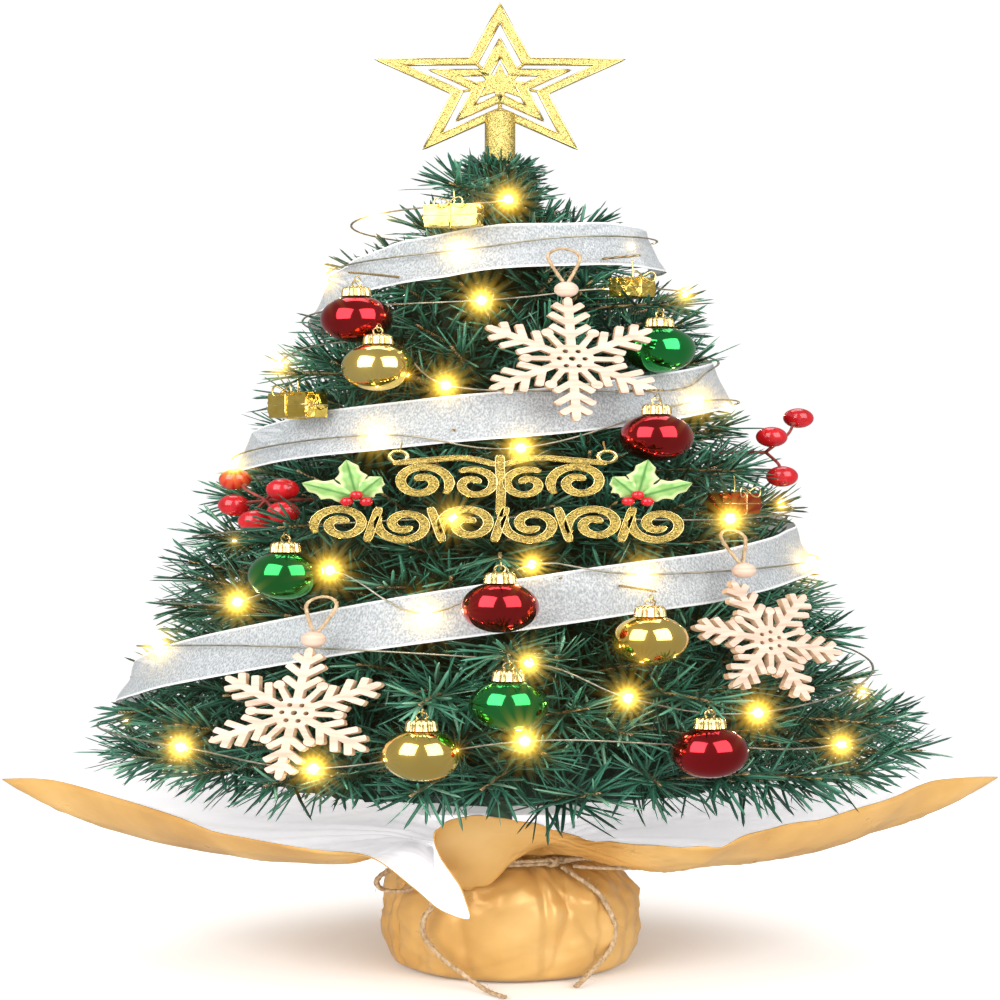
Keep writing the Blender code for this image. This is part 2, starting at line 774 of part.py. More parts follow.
def make_battery_case():
    length, width, height = CASE_SIZE
    centre = Vector(CASE_CENTRE)
    case = box("battery_case", CASE_SIZE, centre, "case_plastic", CASE_CORNER)
    inside = Vector((length - 2 * CASE_WALL, width - 2 * CASE_WALL, height))
    hollow = box("case_hollow", inside, centre + Vector((0, 0, CASE_WALL)), None, collection=CUTTERS)
    slot = box(
        "switch_opening",
        (SWITCH_SLOT[0], 4 * CASE_WALL, SWITCH_SLOT[1]),
        centre + Vector((SWITCH_X, width / 2, 0)),
        None,
        collection=CUTTERS,
    )
    join(case, [hollow, slot], "DIFFERENCE")
    lid_top = centre.z + height / 2
    box(
        "battery_lid",
        (length - 2 * CASE_CORNER, width - 2 * CASE_CORNER, LID_THICK),
        (centre.x, centre.y, lid_top + GAP + LID_THICK / 2),
        "case_plastic",
    )
    for side, sign in (("front", -1), ("rear", 1)):
        place_z = centre.z - height / 2 + CASE_WALL + GAP + CELL_R
        rod(
            f"battery_cell_{side}",
            CELL_R,
            CELL_LENGTH,
            (centre.x + CELL_X, centre.y + sign * CELL_Y, place_z),
            (1, 0, 0),
            "cell_jacket",
        )
    case_back = centre.y + width / 2
    box(
        "power_switch",
        SWITCH_SIZE,
        (centre.x + SWITCH_X - SWITCH_OFF, case_back + SWITCH_SIZE[1] / 2 - SWITCH_SUNK, centre.z),
        "switch_plastic",
    )


# ---- star ---------------------------------------------------------------------------
def star_outline(scale, points=5, notch=STAR_NOTCH, radius=STAR_R):
    found = []
    for i in range(2 * points):
        angle = math.pi / 2 + i * math.pi / points
        reach = scale * radius * (1.0 if i % 2 == 0 else notch)
        found.append((reach * math.cos(angle), reach * math.sin(angle)))
    return found


def upright(obj, centre):
    """Stands a flat piece's XY plane up, facing the front, at centre; returns its mesh object."""
    name, finish, home = obj.name, obj.data.materials[:1], obj.users_collection[0]
    obj.matrix_world = Matrix.Translation(centre) @ Matrix.Rotation(math.pi / 2, 4, "X")
    mesh = as_mesh(obj)
    made = bpy.data.objects.new(name, mesh)
    home.objects.link(made)
    if finish and not mesh.materials:
        mesh.materials.append(finish[0])
    return made


def make_star():
    centre = Vector((0, 0, STAR_CENTRE_Z))
    (outer, outer_hole), (inner, inner_hole) = STAR_FRAMES
    frame = flat(
        "star_topper", [star_outline(outer), star_outline(outer_hole)], STAR_THICK, "gold_glitter"
    )
    frame = upright(frame, centre)
    middle = flat(
        "star_middle", [star_outline(inner), star_outline(inner_hole)], STAR_THICK, None, CUTTERS
    )
    core = flat("star_core", [star_outline(STAR_CORE, 10, 0.5)], STAR_THICK, None, CUTTERS)
    pieces = [upright(middle, centre), upright(core, centre)]
    notch_r = STAR_NOTCH * STAR_R
    reach = (outer_hole * notch_r + BRIDGE_BITE, STAR_CORE * STAR_R * BRIDGE_FOOT)
    for i in range(5):
        angle = math.pi / 2 + math.pi / 5 + i * 2 * math.pi / 5
        length = reach[0] - reach[1]
        bridge = box(
            f"star_bridge_{i}",
            (length, STAR_THICK * JOINING_THICK, BRIDGE_WIDTH),
            (0, 0, 0),
            None,
            collection=CUTTERS,
        )
        direction = Vector((math.cos(angle), 0, math.sin(angle)))
        bridge.location = centre + direction * (reach[0] + reach[1]) / 2
        bridge.rotation_euler = (0, -angle, 0)
        pieces.append(bridge)
    sleeve = turned(
        "star_sleeve",
        (
            (0.0, SLEEVE_Z[1]),
            (SLEEVE_R, SLEEVE_Z[1]),
            (SLEEVE_R, SLEEVE_Z[0]),
            (SLEEVE_BORE_R, SLEEVE_Z[0]),
            (SLEEVE_BORE_R, SLEEVE_BORE_TOP_Z),
            (0.0, SLEEVE_BORE_TOP_Z),
        ),
        None,
        16,
        collection=CUTTERS,
    )
    pieces.append(sleeve)
    join(frame, pieces)


# ---- hanging ornaments --------------------------------------------------------------
def make_balls():
    neck_z = math.sqrt(BALL_R**2 - BALL_NECK_R**2)
    arc_steps = 7
    first = math.asin(BALL_NECK_R / BALL_R)
    arc = []
    for i in range(arc_steps + 1):
        angle = first + (math.pi - first) * i / arc_steps
        arc.append((BALL_R * math.sin(angle), BALL_R * math.cos(angle) - BALL_DROP))
    arc[-1] = (0.0, -BALL_R - BALL_DROP)
    top = neck_z + BALL_NECK_RISE - BALL_DROP
    ball_profile = [(0.0, top), (BALL_NECK_R, top)] + arc
    low, high = (value - BALL_DROP for value in CAP_Z)
    cap_bore = BALL_NECK_R + GAP
    cap_profile = (
        (0.0, high),
        (CAP_R * 0.8, high),
        (CAP_R, high - CAP_CHAMFER),
        (CAP_R, low),
        (cap_bore, low),
        (cap_bore, top + GAP),
        (0.0, top + GAP),
    )
    for name, colour, azimuth, height, offset in BALLS:
        hang = around(azimuth, height, offset) + Vector((0, 0, BALL_DROP))
        ball = turned(f"ball_{colour}_{name}", ball_profile, f"ball_{colour}", 12)
        cap = turned(f"cap_{colour}_{name}", cap_profile, "cap_gold", 10)
        for piece in (ball, cap):
            piece.location = hang
            piece.rotation_euler = (0, 0, math.radians(azimuth))


def flake_outline():
    """Six barbed arms with a short spoke between each two."""
    found = []

    def add(direction, along, across):
        found.append(
            (
                along * math.cos(direction) - across * math.sin(direction),
                along * math.sin(direction) + across * math.cos(direction),
            )
        )

    for arm in range(6):
        direction = math.pi / 2 + arm * math.pi / 3
        for along, half in FLAKE_ARM:
            add(direction, along, -half)
        for along, half in reversed(FLAKE_ARM):
            add(direction, along, half)
        between = direction + math.pi / 6
        for along, half in FLAKE_SPOKE:
            add(between, along, -half)
        for along, half in reversed(FLAKE_SPOKE):
            add(between, along, half)
    return found


def make_flakes():
    outline = flake_outline()
    for name, azimuth, height, offset, lean, turn in FLAKES:
        centre = around(azimuth, height, offset)
        face = Matrix.Rotation(math.radians(azimuth), 4, "Z") @ Matrix.Rotation(
            math.radians(90 - lean), 4, "X"
        )
        up = face @ Vector((0, 1, 0))
        hang = centre + up * FLAKE_DROP
        spun = Matrix.Rotation(math.radians(turn), 4, "Z")
        piece = flat(f"snowflake_{name}", [outline], FLAKE_THICK, "pale_wood")
        piece.data.transform(Matrix.Translation((0, -FLAKE_DROP, 0)) @ spun)
        piece.matrix_world = Matrix.Translation(hang) @ face
        bead_drop = up * (FLAKE_DROP - BEAD_RISE)
        bead = sphere(f"bead_{name}", BEAD_R, hang, "pale_wood", 10, 7)
        bead.data.transform(Matrix.Translation(-bead_drop))


def make_packs():
    for name, azimuth, height, offset, width, depth, tall in PACKS:
        hang = around(azimuth, height, offset) + Vector((0, 0, PACK_DROP))
        finish = "red_foil" if name == "right" else "gold_foil"
        piece = box(f"gift_pack_{name}", (width, depth, tall), hang, finish, PACK_BEVEL)
        piece.data.transform(Matrix.Translation((0, 0, -PACK_DROP)))
        piece.rotation_euler = (0, 0, math.radians(azimuth))


# ---- hanging sign -------------------------------------------------------------------
def rounded_bar(half, low, high, steps=4):
    """A bar with half-round ends, as an outline in the plane of the sign."""
    radius = (high - low) / 2
    middle = (high + low) / 2
    found = []
    for side in (1, -1):
        for i in range(steps + 1):
            angle = -math.pi / 2 + math.pi * i / steps
            x = half - radius + radius * math.cos(angle)
            found.append((side * x, middle + side * radius * math.sin(angle)))
    return found


def make_sign():
    """Two rows of scroll-work as one plate with round ends, and two rings to hang it by."""
    hang = Vector((0, SIGN_Y, SIGN_HANG_Z))
    rows = [[(x, z - SIGN_HANG_Z) for x, z in rounded_bar(*row)] for row in SIGN_ROWS]
    lower = upright(flat("hanging_sign", [rows[0]], SIGN_THICK, "gold_glitter"), (0, 0, 0))
    upper = upright(flat("sign_upper_row", [rows[1]], SIGN_THICK * 0.98, None, CUTTERS), hang)
    pieces = [upper]
    for i, x in enumerate(SIGN_RINGS_X):
        ring = rod(
            f"sign_ring_{i}",
            SIGN_RING_R,
            SIGN_THICK * JOINING_THICK,
            (x, SIGN_Y, SIGN_RING_Z),
            (0, 1, 0),
            None,
            10,
            CUTTERS,
        )
        pieces.append(ring)
    lower.location = hang
    join(lower, pieces)
    for name, x in zip(("left", "right"), HOLLY_X):
        make_holly(name, x, -1 if name == "left" else 1)


def leaf_outline(turn, side):
    points = [(x, y) for x, y in HOLLY_LEAF] + [(x, -y) for x, y in reversed(HOLLY_LEAF[1:-1])]
    angle = math.radians(turn)
    found = []
    for x, y in points:
        along = x * math.cos(angle) - y * math.sin(angle)
        found.append((side * along, x * math.sin(angle) + y * math.cos(angle)))
    return found


def make_holly(name, x, side):
    """Two leaves and a berry, fixed to the front of the sign beside its top row."""
    face_y = SIGN_Y - SIGN_THICK / 2 - GAP - HOLLY_THICK / 2
    centre = Vector((x, face_y, HOLLY_Z))
    hang = Vector((0, SIGN_Y, SIGN_HANG_Z))
    leaves = []
    for i, turn in enumerate(HOLLY_LEAF_TURNS):
        thick = HOLLY_THICK * (1 - HOLLY_LEAF_STEP * i)
        outline = leaf_outline(turn, side)
        leaf = flat(f"holly_{name}_leaf_{i}", [outline], thick, "holly_green", CUTTERS)
        leaves.append(upright(leaf, centre))
    berry_centre = centre + Vector((0, -HOLLY_BERRY_RISE, 0))
    berry = sphere(f"holly_{name}_berry", HOLLY_BERRY_R, berry_centre, None, 10, 6, CUTTERS)
    berry.scale = (1, HOLLY_BERRY_FLAT, 1)
    base = leaves[0]
    CUTTERS.objects.unlink(base)
    PARTS.objects.link(base)
    base.name = f"holly_{name}"
    base.data.transform(Matrix.Translation(-hang))
    base.location = hang
    join(base, [leaves[1], berry])


# ---- berry picks --------------------------------------------------------------------
def make_picks():
    """Each pick is a root stem, a bud where it spreads, and a stem and a berry for each branch."""
    for name, root, berries in BERRY_PICKS:
        elbow = around(*root, BERRY_ELBOW)
        stems = [(around(*root, BERRY_ROOT), elbow)]
        pieces = [sphere(f"pick_{name}_bud", BERRY_BUD_R, elbow, None, 9, 6, CUTTERS)]
        for i, (azimuth, height, offset) in enumerate(berries):
            centre = around(azimuth, height, offset)
            bow = outward(azimuth) * BERRY_STEM_BOW
            stems.append((elbow, (elbow + centre) / 2 + bow, centre))
            pieces.append(sphere(f"pick_{name}_berry_{i}", BERRY_R, centre, None, 9, 6, CUTTERS))
        for i, course in enumerate(stems):
            stem = tube("stem", course, BERRY_STEM_R, None, sides=1, collection=CUTTERS)
            pieces.append(place(f"pick_{name}_stem_{i}", as_mesh(stem), None, CUTTERS))
        base = pieces.pop(0)
        CUTTERS.objects.unlink(base)
        PARTS.objects.link(base)
        base.name = f"berry_pick_{name}"
        base.data.materials.append(material("berry_red"))
        join(base, pieces)


# ---- twine --------------------------------------------------------------------------
def make_twine():
    bm = bmesh.new()
    bmesh.ops.create_circle(bm, segments=24, radius=TWINE_RING_R)
    circle = [vertex.co.copy() + Vector((0, 0, TWINE_Z)) for vertex in bm.verts]
    bm.free()
    ring = tube("ring", circle, TWINE_R, None, closed=True)
    binding = place("twine_binding", as_mesh(ring), "jute")
    knot_reach = outward(KNOT_AZIMUTH) * (TWINE_RING_R + KNOT_PROUD)
    knot_centre = knot_reach + Vector((0, 0, TWINE_Z - KNOT_DROP))
    knot = sphere("twine_knot", KNOT_R, knot_centre, None, 10, 7, CUTTERS)
    join(binding, [knot])
    for side, points in TWINE_LOOPS.items():
        tube(f"twine_loop_{side}", smooth_through(points, 2), TWINE_R, "jute")
    for side, points in TWINE_TAILS.items():
        tube(f"twine_tail_{side}", smooth_through(points, 2), TWINE_R, "jute")


clear_scene()
make_trunk()
make_base()
make_tiers()
make_wrapper()
make_ribbon()
make_light_wire()
make_battery_case()
make_star()
make_balls()
make_flakes()
make_packs()
make_sign()
make_picks()
make_twine()
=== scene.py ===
"""Looks of the artificial tabletop tree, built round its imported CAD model.

Metres, +Z up, the front faces -Y. An azimuth is in degrees round the trunk, 0 at the
front and growing towards +X. Places and routes are those of the CAD model, apart from
the wrapping sheet's folds, its rim in front, and one dip of the light wire.
"""

import math

import bmesh
import bpy
import numpy as np
from mathutils import Matrix, Vector, geometry


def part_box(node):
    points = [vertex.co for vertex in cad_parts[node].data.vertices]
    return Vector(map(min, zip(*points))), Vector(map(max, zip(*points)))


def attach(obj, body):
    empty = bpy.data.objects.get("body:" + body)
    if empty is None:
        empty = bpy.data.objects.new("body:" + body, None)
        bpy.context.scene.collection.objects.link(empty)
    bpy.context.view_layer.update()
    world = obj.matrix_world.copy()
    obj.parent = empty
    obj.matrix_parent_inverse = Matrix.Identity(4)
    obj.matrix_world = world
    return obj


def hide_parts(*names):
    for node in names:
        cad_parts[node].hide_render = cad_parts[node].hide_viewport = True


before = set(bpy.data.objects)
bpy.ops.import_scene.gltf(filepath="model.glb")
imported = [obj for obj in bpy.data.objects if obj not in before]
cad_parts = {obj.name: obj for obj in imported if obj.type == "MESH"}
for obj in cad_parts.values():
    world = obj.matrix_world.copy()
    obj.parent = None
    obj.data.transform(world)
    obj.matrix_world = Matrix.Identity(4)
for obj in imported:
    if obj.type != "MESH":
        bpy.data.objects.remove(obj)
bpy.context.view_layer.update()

UP = Vector((0, 0, 1))

# ---- the ribbon's cone, and how far the needles reach ----
CONE_R = 0.150
CONE_Z = 0.174
CONE_SLOPE = 0.327
OUTLINE = (  # height and radius of the foliage, from the foot to the top
    (0.112, 0.160),
    (0.133, 0.170),
    (0.164, 0.161),
    (0.195, 0.149),
    (0.258, 0.130),
    (0.320, 0.110),
    (0.352, 0.099),
    (0.383, 0.091),
    (0.426, 0.073),
    (0.452, 0.056),
    (0.472, 0.032),
    (0.485, 0.023),
    (0.503, 0.015),
)

# ---- ornaments, as in the CAD model ----
BALL_R = 0.0135
BALL_DROP = 0.024
BALLS = (  # name, colour, azimuth, height of the centre, distance outside the cone
    ("top_left", "red", -33, 0.393, 0.019),
    ("upper_right", "red", 28, 0.324, 0.019),
    ("centre", "red", 0, 0.232, 0.019),
    ("lower_right", "red", 24, 0.156, 0.019),
    ("upper_left", "gold", -24.5, 0.364, 0.019),
    ("right", "gold", 19.3, 0.214, 0.019),
    ("lower_left", "gold", -8.6, 0.157, 0.019),
    ("upper_right", "green", 39.5, 0.3765, 0.010),
    ("left", "green", -31.5, 0.2475, 0.019),
    ("lower_centre", "green", 1, 0.182, 0.019),
)
FLAKE_R = 0.036
FLAKE_THICK = 0.0025
FLAKE_DROP = 0.058
BEAD_R = 0.0045
BEAD_RISE = 0.0405
LOOP_R = 0.0008
FLAKES = (  # name, azimuth, height, distance outside the cone, lean back, turn in its own plane
    ("top", 14, 0.368, 0.020, 10, 0),
    ("left", -25.4, 0.175, 0.014, 18, 0),
    ("right", 39, 0.211, 0.014, 18, 14),
)
PACKS = (  # name, azimuth, height of the centre, distance outside the cone, width, depth, height
    ("top", -14.5, 0.4545, 0.0115, 0.023, 0.011, 0.014),
    ("left", -45.5, 0.344, 0.0115, 0.024, 0.012, 0.016),
    ("upper_right", 36.5, 0.413, 0.0115, 0.016, 0.011, 0.012),
    ("right", 43, 0.287, 0.0125, 0.018, 0.013, 0.013),
)
PACK_DROP = 0.016
PACK_THREAD_R = 0.00042
BOW_REACH = 0.0055
BOW_RISE = 0.0028
BERRY_R = 0.0062
BERRY_ELBOW = 0.006
BERRY_PICKS = (  # name, the stems' root, and each berry's azimuth, height and offset
    (
        "left",
        (-47, 0.289),
        (
            (-55, 0.301, 0.013),
            (-51.5, 0.286, 0.013),
            (-44, 0.277, 0.013),
            (-40, 0.295, 0.013),
            (-38, 0.282, 0.013),
        ),
    ),
    ("right", (72, 0.318), ((68.5, 0.327, 0.013), (85, 0.340, 0.024), (63, 0.303, 0.013))),
)
SIGN_Y = -0.130
SIGN_THICK = 0.003
SIGN_HANG_Z = 0.321
SIGN_RINGS_X = (-0.0355, 0.0375)
SIGN_RING_Z = 0.3125
RING_R = 0.0031
RING_WIRE_R = 0.0009
SIGN_RIM_R = 0.00028
HOLLY = (("left", -0.050, -1), ("right", 0.048, 1))
HOLLY_Z = 0.2905
LEAF_THICK = 0.0004

# ---- routes of the ribbon, the light wire and the twine ----
RIBBON_WIDTH = 0.027
RIBBON_THICK = 0.0003
RIBBON_COURSE = (  # azimuth and height of the band's middle
    (-115, 0.166),
    (-90, 0.172),
    (0, 0.231),
    (90, 0.263),
    (180, 0.291),
    (270, 0.316),
    (360, 0.337),
    (450, 0.364),
    (540, 0.390),
    (630, 0.412),
    (720, 0.437),
    (810, 0.444),
    (830, 0.445),
)
WIRE_R = 0.0005
WIRE_OFFSET = 0.0034
WIRE_COURSE = (  # azimuth and height along the light wire, once it is on the foliage
    (-180, 0.136), (-120, 0.143), (-80, 0.150), (-45, 0.151), (-23, 0.146), (3, 0.162),
    (26, 0.157), (50, 0.151), (110, 0.164), (180, 0.178), (250, 0.192), (296, 0.203),
    (330, 0.208), (364, 0.202), (377, 0.183), (396, 0.172), (440, 0.186), (500, 0.205),
    (590, 0.222), (660, 0.228), (675, 0.231), (692, 0.250), (709, 0.227), (725, 0.254),
    (743, 0.248), (789, 0.252), (850, 0.257), (940, 0.262), (1010, 0.268), (1072, 0.279),
    (1125, 0.278), (1190, 0.288), (1270, 0.298), (1350, 0.313), (1414, 0.326), (1444, 0.318),
    (1490, 0.347), (1560, 0.350), (1640, 0.358), (1710, 0.374), (1767, 0.381), (1788, 0.354),
    (1820, 0.351), (1846, 0.354), (1868, 0.369), (1920, 0.384), (2000, 0.392), (2090, 0.402),
    (2155, 0.404), (2194, 0.413), (2260, 0.419), (2350, 0.424), (2450, 0.430), (2507, 0.435), (2560, 0.446),
    (2700, 0.456), (2860, 0.463), (2883, 0.466),
)
WIRE_LEAD = (  # from the battery case to the first point on the foliage
    (-0.0358, 0.060, 0.0925),
    (-0.043, 0.0605, 0.0930),
    (-0.051, 0.065, 0.0940),
    (-0.056, 0.076, 0.0955),
    (-0.055, 0.091, 0.0975),
    (-0.049, 0.107, 0.1000),
    (-0.038, 0.123, 0.1015),
    (-0.026, 0.139, 0.1025),
    (-0.015, 0.153, 0.1055),
    (-0.007, 0.163, 0.114),
    (-0.002, 0.166, 0.125),
)
FRONT_LAMPS = (  # azimuth along the wire of each lamp that shows from the front
    -45, -23, 3, 50, 296, 364, 377, 396, 675, 692, 709, 725, 743, 789, 1072, 1125, 1414,
    1444, 1490, 1767, 1788, 2155, 2194, 2507, 2883,
)
TWINE_R = 0.0013
TWINE_PITCH = 0.0065
TWINE_RING_R = 0.0372
TWINE_Z = 0.0712
TWINE_LOOPS = {
    "left": (
        (-0.0305, -0.0245, 0.0690),
        (-0.0360, -0.0270, 0.0690),
        (-0.0415, -0.0285, 0.0660),
        (-0.0468, -0.0290, 0.0605),
        (-0.0482, -0.0285, 0.0560),
        (-0.0455, -0.0300, 0.0525),
        (-0.0400, -0.0330, 0.0525),
        (-0.0345, -0.0365, 0.0545),
        (-0.0312, -0.0352, 0.0605),
        (-0.0290, -0.0305, 0.0665),
    ),
    "right": (
        (0.0252, -0.0302, 0.0712),
        (0.0330, -0.0330, 0.0720),
        (0.0440, -0.0345, 0.0724),
        (0.0550, -0.0345, 0.0722),
        (0.0612, -0.0345, 0.0705),
        (0.0610, -0.0350, 0.0680),
        (0.0545, -0.0355, 0.0668),
        (0.0440, -0.0360, 0.0670),
        (0.0350, -0.0362, 0.0676),
        (0.0284, -0.0358, 0.0684),
    ),
}
TWINE_TAILS = {
    "left": (
        (-0.0245, -0.0332, 0.0672),
        (-0.0275, -0.0378, 0.0630),
        (-0.0288, -0.0415, 0.0560),
        (-0.0262, -0.0462, 0.0470),
        (-0.0292, -0.0450, 0.0393),
        (-0.0289, -0.0456, 0.0282),
        (-0.0223, -0.0497, 0.0170),
        (-0.0143, -0.0535, 0.0088),
        (-0.0080, -0.0580, 0.0032),
        (-0.0040, -0.0645, 0.0014),
        (0.0017, -0.0742, 0.0014),
    ),
    "right": (
        (0.0240, -0.0362, 0.0680),
        (0.0298, -0.0380, 0.0622),
        (0.0355, -0.0375, 0.0560),
        (0.0395, -0.0355, 0.0491),
        (0.0442, -0.0320, 0.0340),
        (0.0440, -0.0320, 0.0212),
        (0.0400, -0.0375, 0.0130),
        (0.0348, -0.0430, 0.0065),
        (0.0310, -0.0485, 0.0022),
        (0.0290, -0.0540, 0.0014),
    ),
}
KNOT_AZIMUTH = 32
FIBRE_LENGTHS = (0.0015, 0.005)
FIBRE_WIDTH = 0.00016
FIBRE_THICK = 0.00012

# ---- wrapping sheet: the CAD model's pouch, and a skirt with folds of its own ----
PAPER = 0.0006
POUCH = (
    (0.040, 0.0),
    (0.048, 0.005),
    (0.0515, 0.022),
    (0.0508, 0.044),
    (0.0470, 0.057),
    (0.0400, 0.0655),
    (0.0340, 0.0690),
    (0.0330, 0.0730),
)
SKIRT_ROOT = 0.0045  # the sheet's step up where it leaves the neck
SKIRT_EDGE = (  # azimuth at the neck; x, y, z at the sheet's edge; power of its rise; its hump
    (-180, 0.000, 0.203, 0.112, 4.0, 0.000),
    (-170, -0.026, 0.177, 0.110, 5.0, 0.000),
    (-160, -0.052, 0.151, 0.106, 6.0, 0.000),
    (-150, -0.077, 0.126, 0.101, 7.0, 0.000),
    (-140, -0.102, 0.102, 0.098, 7.0, 0.000),
    (-130, -0.128, 0.075, 0.099, 7.0, 0.000),
    (-120, -0.155, 0.048, 0.104, 6.0, 0.000),
    (-112, -0.178, 0.023, 0.109, 5.0, -0.002),
    (-107, -0.203, 0.000, 0.112, 5.0, -0.004),
    (-102, -0.178, -0.020, 0.115, 8.0, -0.006),
    (-98, -0.145, -0.050, 0.109, 10.0, -0.006),
    (-93, -0.1235, -0.075, 0.104, 10.0, -0.004),
    (-88, -0.098, -0.100, 0.099, 8.0, -0.002),
    (-84, -0.066, -0.124, 0.096, 5.0, 0.000),
    (-81, -0.047, -0.110, 0.090, 3.0, 0.004),
    (-78, -0.032, -0.092, 0.0695, 2.3, 0.006),
    (-75, -0.022, -0.083, 0.054, 2.0, 0.004),
    (-72, -0.0115, -0.079, 0.0475, 2.0, 0.002),
    (-68, -0.0124, -0.077, 0.058, 1.8, -0.004),
    (-63, -0.0162, -0.076, 0.071, 1.4, -0.010),
    (-55, -0.0222, -0.074, 0.0833, 1.1, -0.020),
    (-44, -0.0238, -0.072, 0.0963, 0.9, -0.028),
    (-27, -0.0144, -0.068, 0.1051, 0.9, -0.035),
    (-10, -0.0019, -0.064, 0.1045, 0.9, -0.031),
    (2, 0.0113, -0.063, 0.0987, 1.0, -0.014),
    (13, 0.0249, -0.066, 0.0934, 1.2, -0.002),
    (24, 0.040, -0.085, 0.0945, 2.0, 0.000),
    (35, 0.058, -0.112, 0.0960, 4.0, -0.001),
    (46, 0.0755, -0.118, 0.0975, 6.0, -0.003),
    (57, 0.095, -0.100, 0.1011, 8.0, -0.005),
    (67, 0.118, -0.080, 0.104, 10.0, -0.006),
    (77, 0.145, -0.055, 0.1095, 10.0, -0.006),
    (86, 0.1725, -0.027, 0.116, 8.0, -0.005),
    (95, 0.203, 0.000, 0.112, 5.0, -0.004),
    (104, 0.178, 0.023, 0.109, 5.0, -0.002),
    (114, 0.155, 0.048, 0.104, 6.0, 0.000),
    (125, 0.128, 0.075, 0.099, 7.0, 0.000),
    (136, 0.102, 0.102, 0.098, 7.0, 0.000),
    (148, 0.077, 0.126, 0.101, 7.0, 0.000),
    (160, 0.052, 0.151, 0.106, 6.0, 0.000),
    (170, 0.026, 0.177, 0.110, 5.0, 0.000),
)


# ---- geometry helpers ----
def smooth_through(points, steps_between):
    """Points along a Catmull-Rom curve through the given ones."""
    found = []
    last = len(points) - 1
    for i in range(last):
        before = points[max(i - 1, 0)]
        start = points[i]
        end = points[i + 1]
        after = points[min(i + 2, last)]
        for step in range(steps_between):
            t = step / steps_between
            place = []
            for a, b, c, d in zip(before, start, end, after):
                square, cube = 2 * a - 5 * b + 4 * c - d, 3 * b - a - 3 * c + d
                place.append(0.5 * (2 * b + (c - a) * t + square * t * t + cube * t * t * t))
            found.append(tuple(place))
    found.append(tuple(points[last]))
    return found


def hung_at(azimuth, height, offset):
    """The placing of an ornament that faces outwards at a point round the cone."""
    turn = Matrix.Rotation(math.radians(azimuth), 4, "Z")
    return Matrix.Translation(around(azimuth, height, offset)) @ turn


def cone_radius(height):
    return CONE_R - CONE_SLOPE * (height - CONE_Z)


def outward(azimuth):
    angle = math.radians(azimuth)
    return Vector((math.sin(angle), -math.cos(angle), 0.0))


def around(azimuth, height, offset=0.0):
    """A point outside the ribbon's cone by offset."""
    return outward(azimuth) * (cone_radius(height) + offset) + UP * height


def flake_place(azimuth, height, offset, lean):
    """Centre of a snowflake, and the turn of its face."""
    turn = Matrix.Rotation(math.radians(azimuth), 3, "Z")
    return around(azimuth, height, offset), turn @ Matrix.Rotation(math.radians(90 - lean), 3, "X")


def outline_radius(height):
    return between(OUTLINE, height)


def between(pairs, places):
    """The second values of a table of pairs, at places between its first ones."""
    known, values = zip(*pairs)
    return np.interp(places, known, values)


def unit(vectors):
    return vectors / np.linalg.norm(vectors, axis=-1, keepdims=True)


def length_of(points):
    return sum((Vector(b) - Vector(a)).length for a, b in zip(points, points[1:]))


def waves(values, seed, count, lowest, highest):
    """Smooth pseudo-random values between about -1 and 1."""
    rng = np.random.default_rng(seed)
    total = np.zeros_like(np.asarray(values, float))
    for _ in range(count):
        pitch = rng.uniform(lowest, highest)
        total = total + np.sin(pitch * values + rng.uniform(0, 2 * np.pi))
    return total / count


# ---- object helpers ----
def shown(name, data):
    """A new object in the scene."""
    obj = bpy.data.objects.new(name, data)
    bpy.context.scene.collection.objects.link(obj)
    return obj


def put(name, data, body, nodes=(), finishes=()):
    """An object from a mesh that rides on a body, and stands for CAD nodes."""
    obj = shown(name, data)
    for finish in finishes:
        data.materials.append(finish)
    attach(obj, body)
    if nodes:
        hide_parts(*nodes)
    return obj


def thicken(obj, thickness, offset=0.0, inner_coat=0):
    shell = obj.modifiers.new("thickness", "SOLIDIFY")
    shell.thickness = thickness
    shell.offset = offset
    shell.material_offset = inner_coat


def tag_points(mesh, name, values):
    """A value for each point of a mesh, for a finish to read."""
    tags = mesh.attributes.new(name, "FLOAT", "POINT")
    tags.data.foreach_set("value", np.asarray(values, np.float32))


def mesh_from(name, bm):
    mesh = bpy.data.meshes.new(name)
    bm.to_mesh(mesh)
    bm.free()
    return mesh


def turned_out(mesh, merge_within=0.0):
    """The same mesh with its faces turned outwards, and its doubled points merged."""
    bm = bmesh.new()
    bm.from_mesh(mesh)
    if merge_within:
        bmesh.ops.remove_doubles(bm, verts=bm.verts, dist=merge_within)
    bmesh.ops.recalc_face_normals(bm, faces=bm.faces)
    bm.to_mesh(mesh)
    bm.free()
    return mesh


def mesh_of(name, points, faces, smooth=True):
    mesh = bpy.data.meshes.new(name)
    mesh.from_pydata([tuple(point) for point in points], [], faces)
    mesh.update()
    if smooth:
        mesh.shade_smooth()
    return mesh


def triangle_mesh(name, points, triangles):
    """A large mesh straight from arrays."""
    mesh = bpy.data.meshes.new(name)
    mesh.vertices.add(len(points))
    mesh.vertices.foreach_set("co", np.asarray(points, np.float32).ravel())
    mesh.loops.add(triangles.size)
    mesh.loops.foreach_set("vertex_index", np.asarray(triangles, np.int32).ravel())
    mesh.polygons.add(len(triangles))
    mesh.polygons.foreach_set("loop_start", np.arange(0, triangles.size, 3, dtype=np.int32))
    mesh.update(calc_edges=True)
    return mesh


def joined_mesh(name, meshes, sharp=None):
    """One mesh from several, which are removed."""
    bm = bmesh.new()
    for mesh in meshes:
        bm.from_mesh(mesh)
    made = mesh_from(name, bm)
    for mesh in meshes:
        bpy.data.meshes.remove(mesh)
    made.shade_smooth()
    if sharp:
        made.set_sharp_from_angle(angle=math.radians(sharp))
    return made


